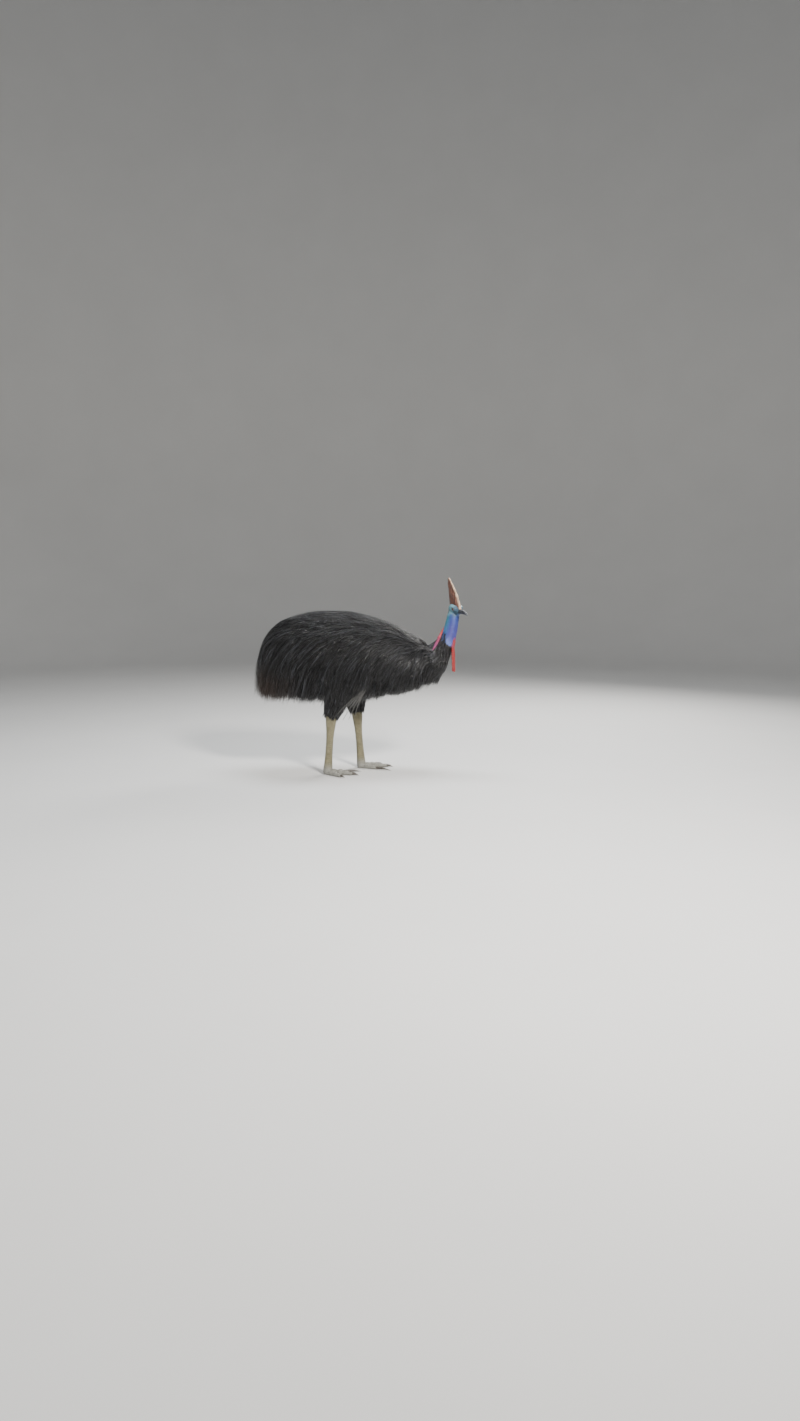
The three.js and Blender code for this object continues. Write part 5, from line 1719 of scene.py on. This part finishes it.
def bristles(count=620):
    """Short blades from points of the head skin, leaning down its outside, and the lashes."""
    draw = np.random.default_rng(401)
    points, normals = surface(head_skin)
    local = off_head(points)
    ear = np.exp(-(gap_to_ear(local) / 14) ** 2)
    gape = np.exp(-(np.hypot(local[:, 0] - 12, local[:, 2] + 14) / 10) ** 2)
    nape = 0.05 * ease((-30 - local[:, 2]) / 10) * ease((120 + local[:, 2]) / 60)
    weight = (ear + gape + nape + 0.02) * (gap_to_eye(local) > 24)
    chosen = draw.choice(len(points), count, replace=False, p=weight / weight.sum())
    roots, out = points[chosen], normals[chosen]
    down = np.array([0, 0, -1.0]) - HEAD_TURN[:, 0] * 0.5
    way = unit(down - out * (down @ out.T)[:, None] + 0.3 * draw.normal(size=out.shape))
    length = draw.uniform(6, 16, count)[:, None, None]
    t = SHARES[None, :, None]
    paths = roots[:, None] + way[:, None] * t * length + out[:, None] * (2.2 * np.sqrt(t) - 0.6)
    outs = np.broadcast_to(out[:, None], paths.shape)
    lash_paths, lash_outs = lashes(draw)
    paths, outs = np.concatenate([paths, lash_paths]), np.concatenate([outs, lash_outs])
    spots = off_head(paths[:, 0])
    uv = np.clip(np.stack([(spots[:, 0] + 110) / 240, (spots[:, 2] + 320) / 400], -1), 0, 1)
    piece = coat_piece("bristles_head", paths, outs, np.full(len(paths), BRISTLE_WIDTH), uv, draw)
    finish_piece(piece, bristle, "plumage")


bristles()

# %% [markdown]
# A plain pale floor that curves up far off on every side stands in for a studio. It is one round
# bowl.

# %% Floor
COVE_START = 8.5  # radius in metres at which the level floor ends
COVE_RADIUS = 4.0
WALL_HEIGHT = 9.0  # straight part of the wall over the cove


def bowl_points(rows=48, count=96):
    """Rings from the middle out: level, then round a quarter circle, then up the wall."""
    run = np.linspace(0.01, COVE_START + COVE_RADIUS * np.pi / 2 + WALL_HEIGHT, rows)
    bend = np.clip((run - COVE_START) / COVE_RADIUS, 0, np.pi / 2)
    radius = np.minimum(run, COVE_START) + COVE_RADIUS * np.sin(bend)
    z = COVE_RADIUS * (1 - np.cos(bend)) + np.maximum(run - COVE_START - COVE_RADIUS * np.pi / 2, 0)
    turn = full_turn(count)
    x, y = radius[:, None] * np.cos(turn), radius[:, None] * np.sin(turn)
    return np.stack([x, y, z[:, None] + 0 * turn], -1)


bowl = bowl_points()
bowl_faces = tube_triangles(*bowl.shape[:2])[: -bowl.shape[1]]  # open above: the far end isn't shut
bowl_spots = np.concatenate([bowl.reshape(-1, 3), [[0, 0, 0]]])
floor = new_piece("studio_floor", unplaced(bowl_spots), bowl_faces)
paper, *_ = mottled_finish("paper", 1.2, 0.8, (0.60, 0.595, 0.58), (0.66, 0.655, 0.64), Roughness=0.85)
floor.data.materials.append(paper)
print("floor is level to", COVE_START, "m from the middle")

# %% [markdown]
# Black plumage needs broad lights: a small one would leave it a dark shape with a few sparks. A
# soft key from the upper right front, a cooler fill from the left, a strip above and a light
# from behind draw long silver shines along the strands.

# %% Light and camera
LIGHT_AIM = np.array([0.0, 0.0, 0.8])  # about the middle of the trunk, in metres
CAMERA_PLACE = (0.271, -6.25, 1.30)
CAMERA_TILT = 81.9  # degrees up from straight down
CAMERA_LENS = 24.0


def soft_light(name, place, size, power, colour):
    """An area light at a place in metres, turned to the trunk."""
    data = bpy.data.lights.new(name, "AREA")
    data.shape = "RECTANGLE"
    data.size, data.size_y = size
    data.energy = power
    data.color = colour
    light = bpy.data.objects.new(name, data)
    light.location = place
    way = LIGHT_AIM - np.array(place, float)
    level = np.hypot(way[0], way[1])
    light.rotation_euler = (np.arctan2(level, -way[2]), 0, np.arctan2(-way[0], way[1]))
    bpy.context.scene.collection.objects.link(light)


soft_light("key", (2.2, -4.2, 3.7), (0.9, 0.9), 560, (1.0, 0.97, 0.93))
soft_light("fill", (-4.2, -3.6, 2.8), (2.4, 2.4), 90, (0.90, 0.95, 1.0))
soft_light("top", (0.2, 0.6, 4.4), (3.0, 1.2), 190, (0.92, 0.96, 1.0))
soft_light("back", (2.6, 3.4, 3.2), (1.8, 1.8), 230, (1.0, 0.98, 0.95))

world = bpy.data.worlds.new("soft_room")
world.use_nodes = True
background = world.node_tree.nodes["Background"]
background.inputs["Color"].default_value = (0.62, 0.66, 0.72, 1)
background.inputs["Strength"].default_value = 0.30
bpy.context.scene.world = world

camera_data = bpy.data.cameras.new("camera")
camera_data.lens = CAMERA_LENS
camera_data.sensor_width = 36.0
camera_data.sensor_fit = "AUTO"
camera = bpy.data.objects.new("camera", camera_data)
camera.location = CAMERA_PLACE
camera.rotation_euler = (np.radians(CAMERA_TILT), 0, 0)
bpy.context.scene.collection.objects.link(camera)
bpy.context.scene.camera = camera
